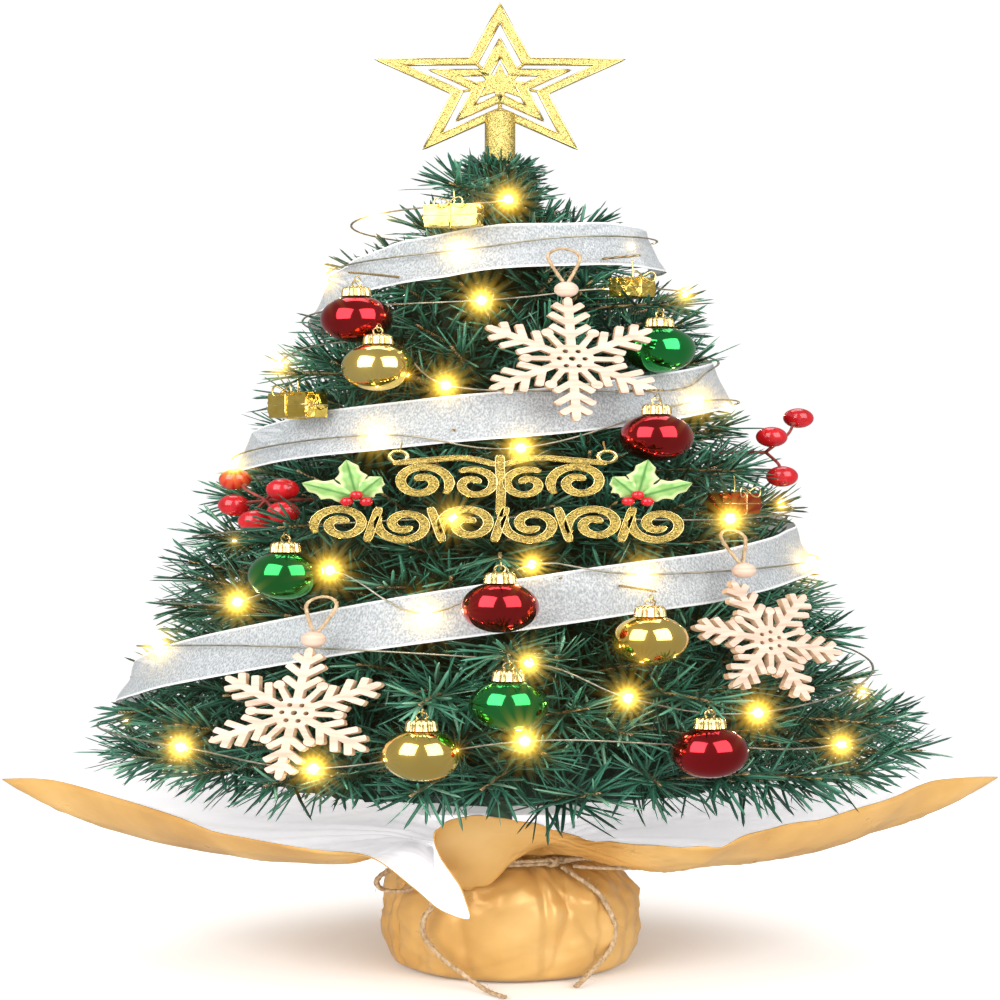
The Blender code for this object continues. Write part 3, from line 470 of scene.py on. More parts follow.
def grid_faces(rows, columns, wrap=False):
    """Quads of a grid whose points are listed row by row."""
    faces = []
    for i in range(rows - 1):
        for j in range(columns if wrap else columns - 1):
            k = (j + 1) % columns
            faces.append((i * columns + j, i * columns + k, (i + 1) * columns + k, (i + 1) * columns + j))
    return faces


def end_caps(sides, total):
    """The two end faces of a tube whose rings have this many sides."""
    return [tuple(reversed(range(sides))), tuple(range(total - sides, total))]


def swept(name, points, section):
    """A mesh tube: section(i, share) gives the outline round point i as (across, up) pairs."""
    line = [Vector(point) for point in points]
    found = []
    side = None
    for i, here in enumerate(line):
        ahead = (line[min(i + 1, len(line) - 1)] - line[max(i - 1, 0)]).normalized()
        if side is None:
            side = ahead.orthogonal().normalized()
        side = (side - ahead * side.dot(ahead)).normalized()
        rise = ahead.cross(side)
        outline = section(i, i / (len(line) - 1))
        found += [here + side * across + rise * up for across, up in outline]
    sides = len(outline)
    faces = grid_faces(len(line), sides, wrap=True) + end_caps(sides, len(found))
    return mesh_of(name, found, faces)


def circle(radius, sides, turn=0.0):
    steps = [turn + 2 * math.pi * i / sides for i in range(sides)]
    return [(radius * math.cos(a), radius * math.sin(a)) for a in steps]


def angles(steps, whole=2 * math.pi):
    """Angles from 0 to the whole turn or part of it, both included."""
    return [whole * i / steps for i in range(steps + 1)]


def wire(name, points, radius, sides=8):
    return swept(name, points, lambda i, share: circle(radius, sides))


def twisted(name, points, radius, pitch, sides=10):
    """A two-ply cord: a two-lobed section that turns along the line."""
    spacing = length_of(points) / (len(points) - 1)

    def section(i, share):
        turn = 2 * math.pi * i * spacing / pitch
        found = []
        for k in range(sides):
            angle = 2 * math.pi * k / sides
            lobe = 0.74 + 0.26 * abs(math.cos(angle - turn))
            found.append((radius * lobe * math.cos(angle), radius * lobe * math.sin(angle)))
        return found

    return swept(name, points, section)


def resampled(points, spacing):
    """The same line with points about spacing apart."""
    line = np.array(points, float)
    steps = np.linalg.norm(np.diff(line, axis=0), axis=1)
    along = np.concatenate([[0], np.cumsum(steps)])
    count = max(2, int(round(along[-1] / spacing)) + 1)
    places = np.linspace(0, along[-1], count)
    return np.stack([np.interp(places, along, line[:, k]) for k in range(3)], axis=1)


def ball_mesh(name, centre, radius, around_steps, rings, squash=(1, 1, 1)):
    bm = bmesh.new()
    bmesh.ops.create_uvsphere(bm, u_segments=around_steps, v_segments=rings, radius=radius)
    bmesh.ops.scale(bm, vec=squash, verts=bm.verts)
    bmesh.ops.translate(bm, vec=centre, verts=bm.verts)
    mesh = mesh_from(name, bm)
    mesh.shade_smooth()
    return mesh


def turned_mesh(name, profile, steps, wobble=None):
    """A turned shape from (radius, height) pairs, both ends on the axis, top first."""
    points = []
    inner = profile[1:-1]
    for radius, height in inner:
        for k in range(steps):
            angle = 2 * math.pi * k / steps
            reach = radius + (wobble(k, radius, height) if wobble else 0.0)
            points.append((reach * math.cos(angle), reach * math.sin(angle), height))
    faces = [tuple(reversed(face)) for face in grid_faces(len(inner), steps, wrap=True)]
    top = len(points)
    points.append((0, 0, profile[0][1]))
    low = len(points)
    points.append((0, 0, profile[-1][1]))
    last = (len(inner) - 1) * steps
    for k in range(steps):
        j = (k + 1) % steps
        faces.append((top, k, j))
        faces.append((low, last + j, last + k))
    return mesh_of(name, points, faces)


def moved(mesh, matrix):
    mesh.transform(matrix)
    return mesh


# ---- materials ----
class Finish:
    """A node material in the making, with short names for its common parts."""

    def __init__(self, name, colour, roughness=0.5, metallic=0.0):
        self.material = bpy.data.materials.new(name)
        self.material.use_nodes = True
        self.tree = self.material.node_tree
        self.shader = self.tree.nodes["Principled BSDF"]
        self.set("Base Color", (*colour, 1.0))
        self.set("Roughness", roughness)
        self.set("Metallic", metallic)
        self.place = self.node("ShaderNodeTexCoord").outputs["Object"]

    def set(self, socket, value):
        self.shader.inputs[socket].default_value = value
        return self

    def node(self, kind, **settings):
        made = self.tree.nodes.new(kind)
        for key, value in settings.items():
            if key in made.inputs:
                made.inputs[key].default_value = value
            else:
                setattr(made, key, value)
        return made

    def link(self, out, into):
        self.tree.links.new(out, into)
        return self

    def noise(self, scale, detail=3.0, stretch=None):
        made = self.node("ShaderNodeTexNoise", Scale=scale, Detail=detail)
        place = self.place
        if stretch:
            mapping = self.node("ShaderNodeMapping", Scale=stretch)
            self.link(place, mapping.inputs["Vector"])
            place = mapping.outputs["Vector"]
        self.link(place, made.inputs["Vector"])
        return made.outputs["Fac"]

    def cells(self, scale, feature="F1", output="Distance"):
        made = self.node("ShaderNodeTexVoronoi", feature=feature, Scale=scale)
        self.link(self.place, made.inputs["Vector"])
        return made.outputs[output]

    def bands(self, scale, direction, distortion=0.0):
        made = self.node("ShaderNodeTexWave", bands_direction=direction, Scale=scale, Distortion=distortion)
        self.link(self.place, made.inputs["Vector"])
        return made.outputs["Fac"]

    def pattern(self, kind, *settings):
        return {"noise": self.noise, "cells": self.cells, "bands": self.bands}[kind](*settings)

    def attribute(self, name):
        made = self.node("ShaderNodeAttribute", attribute_name=name)
        return made.outputs["Fac"]

    def ramp(self, value, *stops):
        """Stops are (place, colour) pairs; a colour is a grey level or a triple."""
        made = self.node("ShaderNodeValToRGB")
        slots = made.color_ramp.elements
        while len(slots) < len(stops):
            slots.new(0.5)
        for slot, (place, colour) in zip(slots, stops):
            slot.position = place
            level = colour if isinstance(colour, tuple) else (colour,) * 3
            slot.color = (*level, 1.0)
        self.link(value, made.inputs["Fac"])
        return made.outputs["Color"]

    def mixed(self, share, a, b, blend="MIX"):
        """A colour mix; a and b are outputs or colours."""
        made = self.node("ShaderNodeMix", data_type="RGBA", blend_type=blend)
        for name, value in (("Factor", share), ("A", a), ("B", b)):
            socket = next(s for s in made.inputs if s.name == name and s.enabled)
            if isinstance(value, bpy.types.NodeSocket):
                self.link(value, socket)
            else:
                socket.default_value = value if name == "Factor" else (*value, 1.0)
        return next(s for s in made.outputs if s.enabled)

    def colour(self, out):
        return self.link(out, self.shader.inputs["Base Color"])

    def rough(self, value, low, high):
        spread = self.ramp(value, (0.0, low), (1.0, high))
        return self.link(spread, self.shader.inputs["Roughness"])

    def relief(self, value, strength, distance=0.001):
        made = self.node("ShaderNodeBump", Strength=strength, Distance=distance)
        self.link(value, made.inputs["Height"])
        return self.link(made.outputs["Normal"], self.shader.inputs["Normal"])


def plain_finish(name, base, skin, stops, gloss=None, bumps=None, sockets=None):
    """A finish whose colour, gloss and relief each follow one pattern."""
    made = Finish(name, base)
    made.colour(made.ramp(made.pattern(*skin), *stops))
    if gloss:
        made.rough(made.pattern(*gloss[0]), *gloss[1:])
    if bumps:
        made.relief(made.pattern(*bumps[0]), *bumps[1:])
    for socket, value in (sockets or {}).items():
        made.set(socket, value)
    return made.material


PLAIN_FINISHES = {  # name, base colour, pattern and stops of the colour, gloss, relief, other sockets
    "twig": (
        "twig_wire", (0.22, 0.15, 0.06), ("bands", 420, "DIAGONAL", 1.5),
        ((0.25, (0.08, 0.06, 0.025)), (0.6, (0.32, 0.21, 0.085)), (1.0, (0.56, 0.40, 0.19))),
        (("noise", 200), 0.3, 0.6), (("bands", 420, "DIAGONAL", 1.5), 0.5, 0.0004), {"Metallic": 0.25},
    ),
    # The inner body's near-black green is painted shade for the inner needles in shadow.
    "core": (
        "inner_foliage_painted_shade", (0.006, 0.03, 0.018), ("noise", 160, 6, (1, 1, 0.3)),
        ((0.35, (0.002, 0.010, 0.006)), (0.75, (0.010, 0.055, 0.032))),
        None, (("noise", 160, 6, (1, 1, 0.3)), 0.8, 0.004), {"Roughness": 0.8},
    ),
    "trunk": (
        "trunk_tape", (0.03, 0.09, 0.04), ("bands", 60, "DIAGONAL", 1.0),
        ((0.2, (0.012, 0.05, 0.02)), (0.9, (0.05, 0.13, 0.06))),
        (("noise", 150), 0.5, 0.75), (("bands", 60, "DIAGONAL", 1.0), 0.5, 0.0006),
    ),
    "white_paper_painted_glow": (
        "paper_white_painted_glow", (0.93, 0.91, 0.93), ("noise", 14, 3),
        ((0.3, (0.88, 0.85, 0.87)), (0.7, (0.95, 0.94, 0.95))),
        (("noise", 80), 0.35, 0.55), (("noise", 90, 4), 0.2, 0.001),
        # Emission is painted light: a glow that keeps the white paper bright where the tree shades it.
        {"Emission Color": (1.0, 0.96, 0.98, 1.0), "Emission Strength": 0.46},
    ),
    "bright_gold": (
        "gold_polished_edge", (0.95, 0.76, 0.30), ("noise", 120),
        ((0.35, (0.86, 0.64, 0.20)), (0.65, (0.98, 0.82, 0.40))),
        (("noise", 120), 0.14, 0.32), (("noise", 500), 0.12, 0.0002), {"Metallic": 1.0},
    ),
    "cap": (
        "cap_pressed_gold", (0.86, 0.66, 0.28), ("noise", 500, 3),
        ((0.3, (0.70, 0.48, 0.17)), (0.7, (0.95, 0.78, 0.40))),
        (("noise", 500, 3), 0.18, 0.36), (("noise", 900), 0.15, 0.0002), {"Metallic": 1.0},
    ),
    "wood": (
        "birch_ply", (0.62, 0.45, 0.34), ("noise", 46, 6, (1, 1, 9)),
        ((0.28, (0.46, 0.30, 0.22)), (0.5, (0.61, 0.43, 0.33)), (0.75, (0.70, 0.54, 0.44))),
        (("noise", 300), 0.5, 0.75), (("noise", 260, 6, (1, 1, 6)), 0.25, 0.0004),
    ),
    "scorched": (
        "laser_cut_edge", (0.35, 0.20, 0.10), ("noise", 400),
        ((0.3, (0.42, 0.26, 0.15)), (0.7, (0.62, 0.43, 0.28))),
        None, (("noise", 400), 0.2, 0.0003), {"Roughness": 0.8},
    ),
    "jute": (
        "jute_twine", (0.55, 0.38, 0.20), ("noise", 700, 4, (1, 1, 0.4)),
        ((0.3, (0.26, 0.16, 0.08)), (0.55, (0.47, 0.33, 0.19)), (0.8, (0.66, 0.51, 0.34))),
        (("noise", 700, 4, (1, 1, 0.4)), 0.7, 0.95), (("noise", 700, 4, (1, 1, 0.4)), 0.6, 0.0004),
    ),
    "berry": (
        "berry_lacquer", (0.50, 0.005, 0.012), ("noise", 150, 2),
        ((0.3, (0.32, 0.002, 0.006)), (0.7, (0.56, 0.006, 0.014))),
        (("noise", 300), 0.14, 0.28), (("noise", 240), 0.06, 0.0004),
        {"Coat Weight": 0.4, "Coat Roughness": 0.06},
    ),
    "stem": (
        "berry_stem", (0.22, 0.02, 0.02), ("noise", 400),
        ((0.3, (0.12, 0.012, 0.01)), (0.7, (0.32, 0.04, 0.03))),
        (("noise", 400), 0.45, 0.7), (("noise", 400), 0.3, 0.0003),
    ),
    "silver": (
        "lacquered_wire", (0.34, 0.31, 0.22), ("noise", 300),
        ((0.3, (0.24, 0.22, 0.15)), (0.7, (0.50, 0.46, 0.36))),
        (("noise", 300), 0.3, 0.5), (("bands", 900, "DIAGONAL"), 0.2, 0.0002), {"Metallic": 0.8},
    ),
    "plaster": (
        "cast_plaster", (0.74, 0.72, 0.69), ("noise", 180, 6),
        ((0.35, (0.60, 0.58, 0.55)), (0.7, (0.80, 0.78, 0.75))),
        None, (("noise", 180, 6), 0.5, 0.001), {"Roughness": 0.9},
    ),
    "cell": (
        "cell_sleeve", (0.10, 0.22, 0.42), ("bands", 16, "X"),
        ((0.45, (0.05, 0.13, 0.30)), (0.55, (0.62, 0.62, 0.60))),
        (("noise", 150), 0.25, 0.4), None, {"Metallic": 0.3},
    ),
}


def ball_finish(colour_name, deep, bright):
    return plain_finish(
        f"ball_mirror_{colour_name}", bright, ("noise", 40, 2), ((0.3, deep), (0.7, bright)),
        (("noise", 220, 5), 0.06, 0.14), (("noise", 55, 2), 0.03, 0.0006),
        {"Metallic": 1.0, "Coat Weight": 0.4, "Coat Roughness": 0.08},
    )


def foil_finish(name, deep, bright):
    return plain_finish(
        name, bright, ("noise", 160, 3), ((0.3, deep), (0.7, bright)),
        (("noise", 260), 0.12, 0.3), (("cells", 230, "DISTANCE_TO_EDGE"), 0.5, 0.0009), {"Metallic": 1.0},
    )


def moulded_finish(name, colour):
    light = tuple(min(1.0, 1.12 * c) for c in colour)
    dark = tuple(0.86 * c for c in colour)
    return plain_finish(
        name, colour, ("noise", 120, 4), ((0.3, dark), (0.7, light)),
        (("noise", 400), 0.35, 0.55), (("noise", 900), 0.12, 0.0003),
    )


def needle_finish():
    made = Finish("needle_pvc", (0.02, 0.10, 0.06))
    made.set("IOR", 1.5)
    # The needle's value mixes random tone with painted shade: needles deeper in the tree are painted
    # darker, the outer tips lighter.
    tone_and_shade = made.ramp(
        made.attribute("tone_and_shade"),
        (0.0, (0.005, 0.040, 0.024)),
        (0.35, (0.018, 0.115, 0.070)),
        (0.7, (0.060, 0.230, 0.145)),
        (1.0, (0.230, 0.440, 0.290)),
    )
    patches = made.ramp(made.noise(38, 2), (0.3, 0.62), (0.7, 1.35))
    made.colour(made.mixed(1.0, tone_and_shade, patches, "MULTIPLY"))
    made.rough(made.noise(300), 0.24, 0.42)
    made.relief(made.bands(900, "DIAGONAL", 2.0), 0.15, 0.0002)
    return made.material


def gold_paper_finish():
    made = Finish("paper_gold", (0.70, 0.42, 0.14), metallic=0.25)
    drift = made.noise(22, 4)
    golds = (0.3, (0.56, 0.29, 0.075)), (0.55, (0.69, 0.40, 0.125)), (0.8, (0.79, 0.51, 0.20))
    made.colour(made.ramp(drift, *golds))
    made.rough(made.noise(60), 0.22, 0.40)
    made.relief(made.mixed(0.6, made.noise(60, 3), made.cells(38, "DISTANCE_TO_EDGE")), 0.35, 0.0022)
    return made.material


def organza_finish():
    """Sheer cloth: a fine grain of threads with bright flecks, and a solid selvage."""
    made = Finish("organza_cloth", (0.55, 0.58, 0.60))
    grain = made.noise(1500, 3, (1, 1, 0.4))
    cloud = made.noise(26, 3)
    haze = made.ramp(cloud, (0.3, 0.50), (0.7, 0.62))
    flecks = made.ramp(grain, (0.35, 0.80), (0.65, 1.15))
    body = made.mixed(1.0, haze, flecks, "MULTIPLY")
    edge = made.ramp(made.attribute("across"), (0.88, 0.0), (0.96, 1.0))
    cover = made.mixed(edge, body, (0.92, 0.92, 0.92))
    made.link(cover, made.shader.inputs["Alpha"])
    threads = made.ramp(grain, (0.35, (0.40, 0.43, 0.45)), (0.68, (0.66, 0.68, 0.70)))
    made.colour(made.mixed(edge, threads, (0.86, 0.87, 0.88)))
    made.rough(made.noise(90), 0.5, 0.7)
    made.relief(grain, 0.25, 0.0002)
    return made.material


def glitter_finish(name="gold_glitter_cast", colour=(0.42, 0.30, 0.075), scale=2200):
    made = Finish(name, colour, metallic=0.9)
    grains = made.cells(scale, output="Color")
    light = tuple(min(1.0, 1.7 * c) for c in colour)
    dark = tuple(0.4 * c for c in colour)
    made.colour(made.ramp(grains, (0.2, dark), (0.5, colour), (0.85, light)))
    made.rough(made.cells(scale * 0.7, output="Color"), 0.2, 0.55)
    made.relief(made.cells(scale), 0.5, 0.0004)
    return made.material


def leaf_finish():
    made = Finish("holly_leaf_foil", (0.30, 0.46, 0.16), metallic=0.2)
    drift = made.noise(180, 3)
    green = made.ramp(drift, (0.3, (0.16, 0.34, 0.08)), (0.7, (0.34, 0.52, 0.18)))
    edge = made.ramp(made.attribute("across"), (0.55, 0.0), (0.95, 1.0))
    rib = made.ramp(made.attribute("across"), (0.0, 1.0), (0.2, 0.0))
    pale = made.mixed(edge, green, (0.66, 0.70, 0.36))
    made.colour(made.mixed(rib, pale, (0.06, 0.20, 0.04)))
    made.rough(drift, 0.25, 0.42)
    made.relief(made.noise(500), 0.2, 0.0003)
    return made.material


def lamp_finish():
    made = Finish("warm_lamp_drop", (1.0, 0.86, 0.55), 0.15)
    glow = made.ramp(made.noise(500), (0.3, (1.0, 0.62, 0.20)), (0.7, (1.0, 0.78, 0.40)))
    made.link(glow, made.shader.inputs["Emission Color"])
    made.set("Emission Strength", LAMP_GLOW)
    return made.material


# ---- camera and stage ----
FLOOR_R = 0.62
CAMERA_PLACE = (0.0, -1.0, 0.289)
HALF_WIDTH = 0.201  # radians, either side of the middle
HALF_HEIGHT = 0.3125  # on a cylinder of radius 1
LAMP_GLOW = 46.0
LAMP_WATTS = 0.0014
LAMP_R = 0.0015
LAMP_REACH = 0.011  # from a lamp drop out to the light that stands for its glow
LAMP_APART = 0.05  # between lamps on neighbouring turns
LAMP_TURN = 52  # degrees between lamps along the wire, at the least


def make_camera():
    """A cylindrical panorama, whose width and height are set apart from each other."""
    data = bpy.data.cameras.new("camera")
    data.type = "PANO"
    data.panorama_type = "CENTRAL_CYLINDRICAL"
    data.central_cylindrical_range_u_min = -HALF_WIDTH
    data.central_cylindrical_range_u_max = HALF_WIDTH
    data.central_cylindrical_range_v_min = -HALF_HEIGHT
    data.central_cylindrical_range_v_max = HALF_HEIGHT
    data.central_cylindrical_radius = 1.0
    data.clip_start = 0.01
    camera = shown("camera", data)
    camera.location = CAMERA_PLACE
    camera.rotation_euler = (math.pi / 2, 0, 0)
    bpy.context.scene.camera = camera


def softbox(name, place, aim, width, height, watts, mirrored=True):
    data = bpy.data.lights.new(name, "AREA")
    data.shape = "RECTANGLE"
    data.size = width
    data.size_y = height
    data.energy = watts
    lamp = shown(name, data)
    lamp.location = place
    lamp.rotation_euler = (Vector(aim) - Vector(place)).to_track_quat("-Z", "Y").to_euler()
    lamp.visible_glossy = mirrored


def make_world():
    """White to the camera and as fill, and darker where polished things mirror it."""
    world = bpy.data.worlds.new("studio")
    bpy.context.scene.world = world
    world.use_nodes = True
    nodes, links = world.node_tree.nodes, world.node_tree.links
    path = nodes.new("ShaderNodeLightPath")
    last = nodes["Background"]
    last.inputs["Color"].default_value = (1, 1, 1, 1)
    last.inputs["Strength"].default_value = 0.62
    for ray, strength in (("Is Glossy Ray", 0.34), ("Is Camera Ray", 1.02)):
        light = nodes.new("ShaderNodeBackground")
        light.inputs["Color"].default_value = (1, 1, 1, 1)
        light.inputs["Strength"].default_value = strength
        mix = nodes.new("ShaderNodeMixShader")
        links.new(path.outputs[ray], mix.inputs["Fac"])
        links.new(last.outputs[0], mix.inputs[1])
        links.new(light.outputs[0], mix.inputs[2])
        last = mix
    links.new(last.outputs[0], nodes["World Output"].inputs["Surface"])


def make_stage():
    """A white disc under the tree, lit so that its edge is lost in the white surround."""
    count = 96
    ring = [(FLOOR_R * x, FLOOR_R * y, 0.0) for x, y in circle(1.0, count)]
    mesh = mesh_of("floor", ring, [tuple(range(count))], False)
    floor = shown("floor", mesh)
    floor.location = (0, 0, -0.0004)
    floor.visible_glossy = False
    finish = Finish("floor_white", (0.93, 0.93, 0.93), 0.9)
    away = finish.node("ShaderNodeVectorMath", operation="LENGTH")
    finish.link(finish.place, away.inputs[0])
    spread = finish.node("ShaderNodeMapRange")
    spread.inputs["From Min"].default_value = 0.05
    spread.inputs["From Max"].default_value = FLOOR_R
    spread.inputs["To Max"].default_value = 0.5
    finish.link(away.outputs["Value"], spread.inputs["Value"])
    finish.set("Emission Color", (1, 1, 1, 1))
    finish.link(spread.outputs["Result"], finish.shader.inputs["Emission Strength"])
    finish.set("Specular IOR Level", 0.0)
    mesh.materials.append(finish.material)
    make_world()
    softbox("softbox_left", (-0.80, -1.00, 0.86), (0, 0, 0.28), 1.15, 1.15, 19)
    softbox("softbox_right", (0.80, -1.00, 0.86), (0, 0, 0.28), 1.15, 1.15, 17)
    softbox("softbox_top", (0.0, 0.55, 1.9), (0, 0, 0.3), 1.4, 1.0, 13)
    softbox("softbox_low", (0.0, -1.6, 0.16), (0, 0, 0.12), 1.6, 0.25, 7, mirrored=False)
    bpy.context.scene.view_settings.view_transform = "Standard"


def make_glare():
    """A photographic starburst on the lamps, and nothing else that bright in view."""
    scene = bpy.context.scene
    scene.use_nodes = True
    tree = scene.node_tree
    tree.nodes.clear()
    layers = tree.nodes.new("CompositorNodeRLayers")
    out = tree.nodes.new("CompositorNodeComposite")
    last = layers.outputs["Image"]
    for kind, strength in (("STREAKS", 0.42), ("BLOOM", 0.12)):
        glare = tree.nodes.new("CompositorNodeGlare")
        glare.glare_type = kind
        glare.quality = "HIGH"
        wanted = {
            "Threshold": 4.0,
            "Strength": strength,
            "Tint": (1.0, 0.86, 0.22, 1.0),
            "Streaks": 16,
            "Streaks Angle": 0.2,
            "Iterations": 4,
            "Fade": 0.86,
            "Size": 0.30,
            "Color Modulation": 0.0,
        }
        for socket in glare.inputs:
            if socket.name in wanted:
                socket.default_value = wanted[socket.name]
        tree.links.new(last, glare.inputs["Image"])
        last = glare.outputs["Image"]
    tree.links.new(last, out.inputs["Image"])


# ---- cords: light wire and twine ----
def wire_point(course, azimuth, offset=WIRE_OFFSET):
    return around(azimuth, float(between(course, azimuth)), offset)


def make_lights(finishes):
    """The light wire on its whole route, with its lamp drops and the light that they give."""
    course = smooth_through(WIRE_COURSE, 10)
    points = [Vector(point) for point in smooth_through(WIRE_LEAD, 4)]
    first, last = WIRE_COURSE[0][0], WIRE_COURSE[-1][0]
    for azimuth in np.arange(first + 3, last, 3.0):
        points.append(wire_point(course, azimuth))
    points.append(wire_point(course, last))
    line = [Vector(point) for point in resampled(points, 0.006)]
    cord = wire("light_string", line, WIRE_R, 6)
    string = put("light_string", cord, "tree", ["light_wire"], [finishes["silver"]])
    lamps = list(FRONT_LAMPS)
    for azimuth in np.arange(first + 20, last, 5.0):
        here = wire_point(course, azimuth)
        if all((here - wire_point(course, other)).length > LAMP_APART for other in lamps):
            if all(abs(azimuth - other) > LAMP_TURN for other in lamps):
                lamps.append(azimuth)
    drops = []
    for i, azimuth in enumerate(sorted(lamps)):
        here = wire_point(course, azimuth, WIRE_OFFSET + 0.0008)
        drops.append(ball_mesh("drop", here, LAMP_R, 12, 8, (1, 1, 1.35)))
        glow = bpy.data.lights.new(f"lamp_glow_{i}", "POINT")
        glow.energy = LAMP_WATTS
        glow.color = (1.0, 0.72, 0.30)
        glow.shadow_soft_size = 0.003
        shown(glow.name, glow).location = here + outward(azimuth) * LAMP_REACH
    body = put("lamp_drops", joined_mesh("lamp_drops", drops), "tree", (), [finishes["lamp"]])


def make_twine(finishes):
    """The ring, knot, loops and tails of twine round the neck of the wrapping."""
    jute = finishes["jute"]
    ring = [outward(a) * TWINE_RING_R + UP * TWINE_Z for a in np.arange(0, 361, 3)]
    lower_r, lower_z = TWINE_RING_R - 0.0004, TWINE_Z - 0.0022
    lower = [outward(a) * lower_r + UP * lower_z for a in np.arange(-60, 95, 3)]
    knot = outward(KNOT_AZIMUTH) * (TWINE_RING_R + 0.0012) + UP * (TWINE_Z - 0.0012)
    side = outward(KNOT_AZIMUTH + 90)
    turns = []
    for tilt, size in ((0.5, 0.0024), (-0.6, 0.0022)):
        up = UP * math.cos(tilt) + side * math.sin(tilt)
        across = outward(KNOT_AZIMUTH)
        steps = np.linspace(0, 2 * math.pi, 25)
        turns.append([knot + up * size * math.cos(s) + across * size * math.sin(s) for s in steps])
    meshes = [twisted("binding", resampled(line, 0.0009), TWINE_R, TWINE_PITCH) for line in (ring, lower)]
    meshes += [twisted("knot", line, TWINE_R * 0.9, 0.005) for line in turns]
    put("twine_tie", joined_mesh("twine_tie", meshes), "tree", ["twine_binding"], [jute])
    everything = [ring, lower]
    for kind, routes, end in (("loop", TWINE_LOOPS, "object"), ("tail", TWINE_TAILS, "bare")):
        for name, points in routes.items():
            line = resampled(smooth_through(points, 8), 0.0008)
            piece = put(
                f"twine_{kind}_{name}_jute", twisted("twine", line, TWINE_R, TWINE_PITCH), "tree",
                [f"twine_{kind}_{name}"], [jute],
            )
            everything.append(line)
    make_fibres("twine_fibres", everything, TWINE_R, 5, jute, 21)


def make_fibres(name, lines, radius, per_cm, finish, seed, body="tree"):
    """Loose hairs that stand off twine."""
    rng = np.random.default_rng(seed)
    bases, directions, lengths = [], [], []
    for line in lines:
        line = np.array([tuple(point) for point in line])
        count = int(per_cm * length_of(line) * 100)
        places = rng.integers(1, len(line) - 1, count)
        for i in places:
            ahead = unit(line[i + 1] - line[i - 1])
            sideways = unit(np.cross(ahead, rng.normal(size=3)))
            bases.append(line[i] + sideways * radius * 0.7)
            directions.append(unit(sideways + ahead * rng.uniform(-1.2, 1.2)))
            lengths.append(rng.uniform(*FIBRE_LENGTHS))
    bases, directions, lengths = map(np.array, (bases, directions, lengths))
    keep = (bases + directions * lengths[:, None])[:, 2] > 0.0002
    mesh = strips(
        name, bases[keep], directions[keep], lengths[keep], FIBRE_WIDTH, FIBRE_THICK, rng, curl=0.25
    )
    put(name, mesh, body, (), [finish])


# ---- needles ----
def strips(name, bases, directions, lengths, width, thick, rng, curl, tones_and_shade=None):
    """Closed three-sided strips with a slight curl, narrow only near the tip."""
    count = len(bases)
    across = unit(np.cross(directions, rng.normal(size=(count, 3))))
    rise = np.cross(directions, across)
    bend = unit(rng.normal(size=(count, 3))) * (curl * rng.uniform(0, 1, (count, 1)))
    reach = lengths[:, None]
    points = np.empty((count, 10, 3))
    for row, share, size in ((0, 0.0, 0.8), (3, 0.5, 1.0), (6, 0.88, 0.8)):
        centre = bases + directions * reach * share + bend * reach * 0.7 * share**2
        points[:, row] = centre - across * (width * size / 2)
        points[:, row + 1] = centre + across * (width * size / 2)
        points[:, row + 2] = centre + rise * thick
    points[:, 9] = bases + directions * reach + bend * reach * 0.7
    pattern = [(0, 2, 1), (6, 7, 9), (7, 8, 9), (8, 6, 9)]
    for low in (0, 3):
        for i, j in ((0, 1), (1, 2), (2, 0)):
            pattern += [(low + i, low + j, low + j + 3), (low + i, low + j + 3, low + i + 3)]
    triangles = (np.array(pattern)[None] + 10 * np.arange(count)[:, None, None]).reshape(-1, 3)
    mesh = triangle_mesh(name, points.reshape(-1, 3), triangles)
    if tones_and_shade is not None:
        tag_points(mesh, "tone_and_shade", np.repeat(tones_and_shade, 10))
    return mesh


BALL_CLEAR = 0.0028
CAP_RISE = 0.017  # from a ball's centre up to the middle of its cap
CAP_ZONE_R = 0.0062
SMALL_CLEAR = 0.001  # round berries and beads
RIBBON_ZONE_HALF = 0.0145  # of the ribbon's height
RIBBON_ZONE_DEPTH = 0.0018  # behind the ribbon
FLAKE_ZONE_HALF = 0.0032  # of a snowflake's thickness
FLAKE_SWAY = 0.006  # of a snowflake in its own plane
SIGN_ZONE = (0.071, 0.258, 0.319)  # half width, lowest and highest place of the sign
SIGN_CLEAR = 0.0035
SHEET_CLEAR = 0.003


def ornament_spheres():
    """Centres and radii of the balls and caps in their swings, packs, berries and beads."""
    found = []
    for _, _, azimuth, height, offset in BALLS:
        hang = around(azimuth, height, offset) + UP * BALL_DROP
        side = outward(azimuth + 90)
        for degrees in (-12, -6, 0, 6, 12):
            swing = math.radians(degrees)
            down = side * math.sin(swing) - UP * math.cos(swing)
            found.append((hang + down * BALL_DROP, BALL_R + BALL_CLEAR))
            found.append((hang + down * (BALL_DROP - CAP_RISE), CAP_ZONE_R))
    for _, azimuth, height, offset, width, depth, tall in PACKS:
        centre = around(azimuth, height, offset)
        side = outward(azimuth + 90)
        for shift in (-0.35, 0.0, 0.35):
            found.append((centre + side * width * shift, 0.55 * max(tall, depth) + 0.0015))
    for _, root, berries in BERRY_PICKS:
        for azimuth, height, offset in berries:
            found.append((around(azimuth, height, offset), BERRY_R + SMALL_CLEAR))
    for _, azimuth, height, offset, lean, _ in FLAKES:
        centre, face = flake_place(azimuth, height, offset, lean)
        found.append((centre + face @ Vector((0, BEAD_RISE, 0)), BEAD_R + SMALL_CLEAR))
    return found


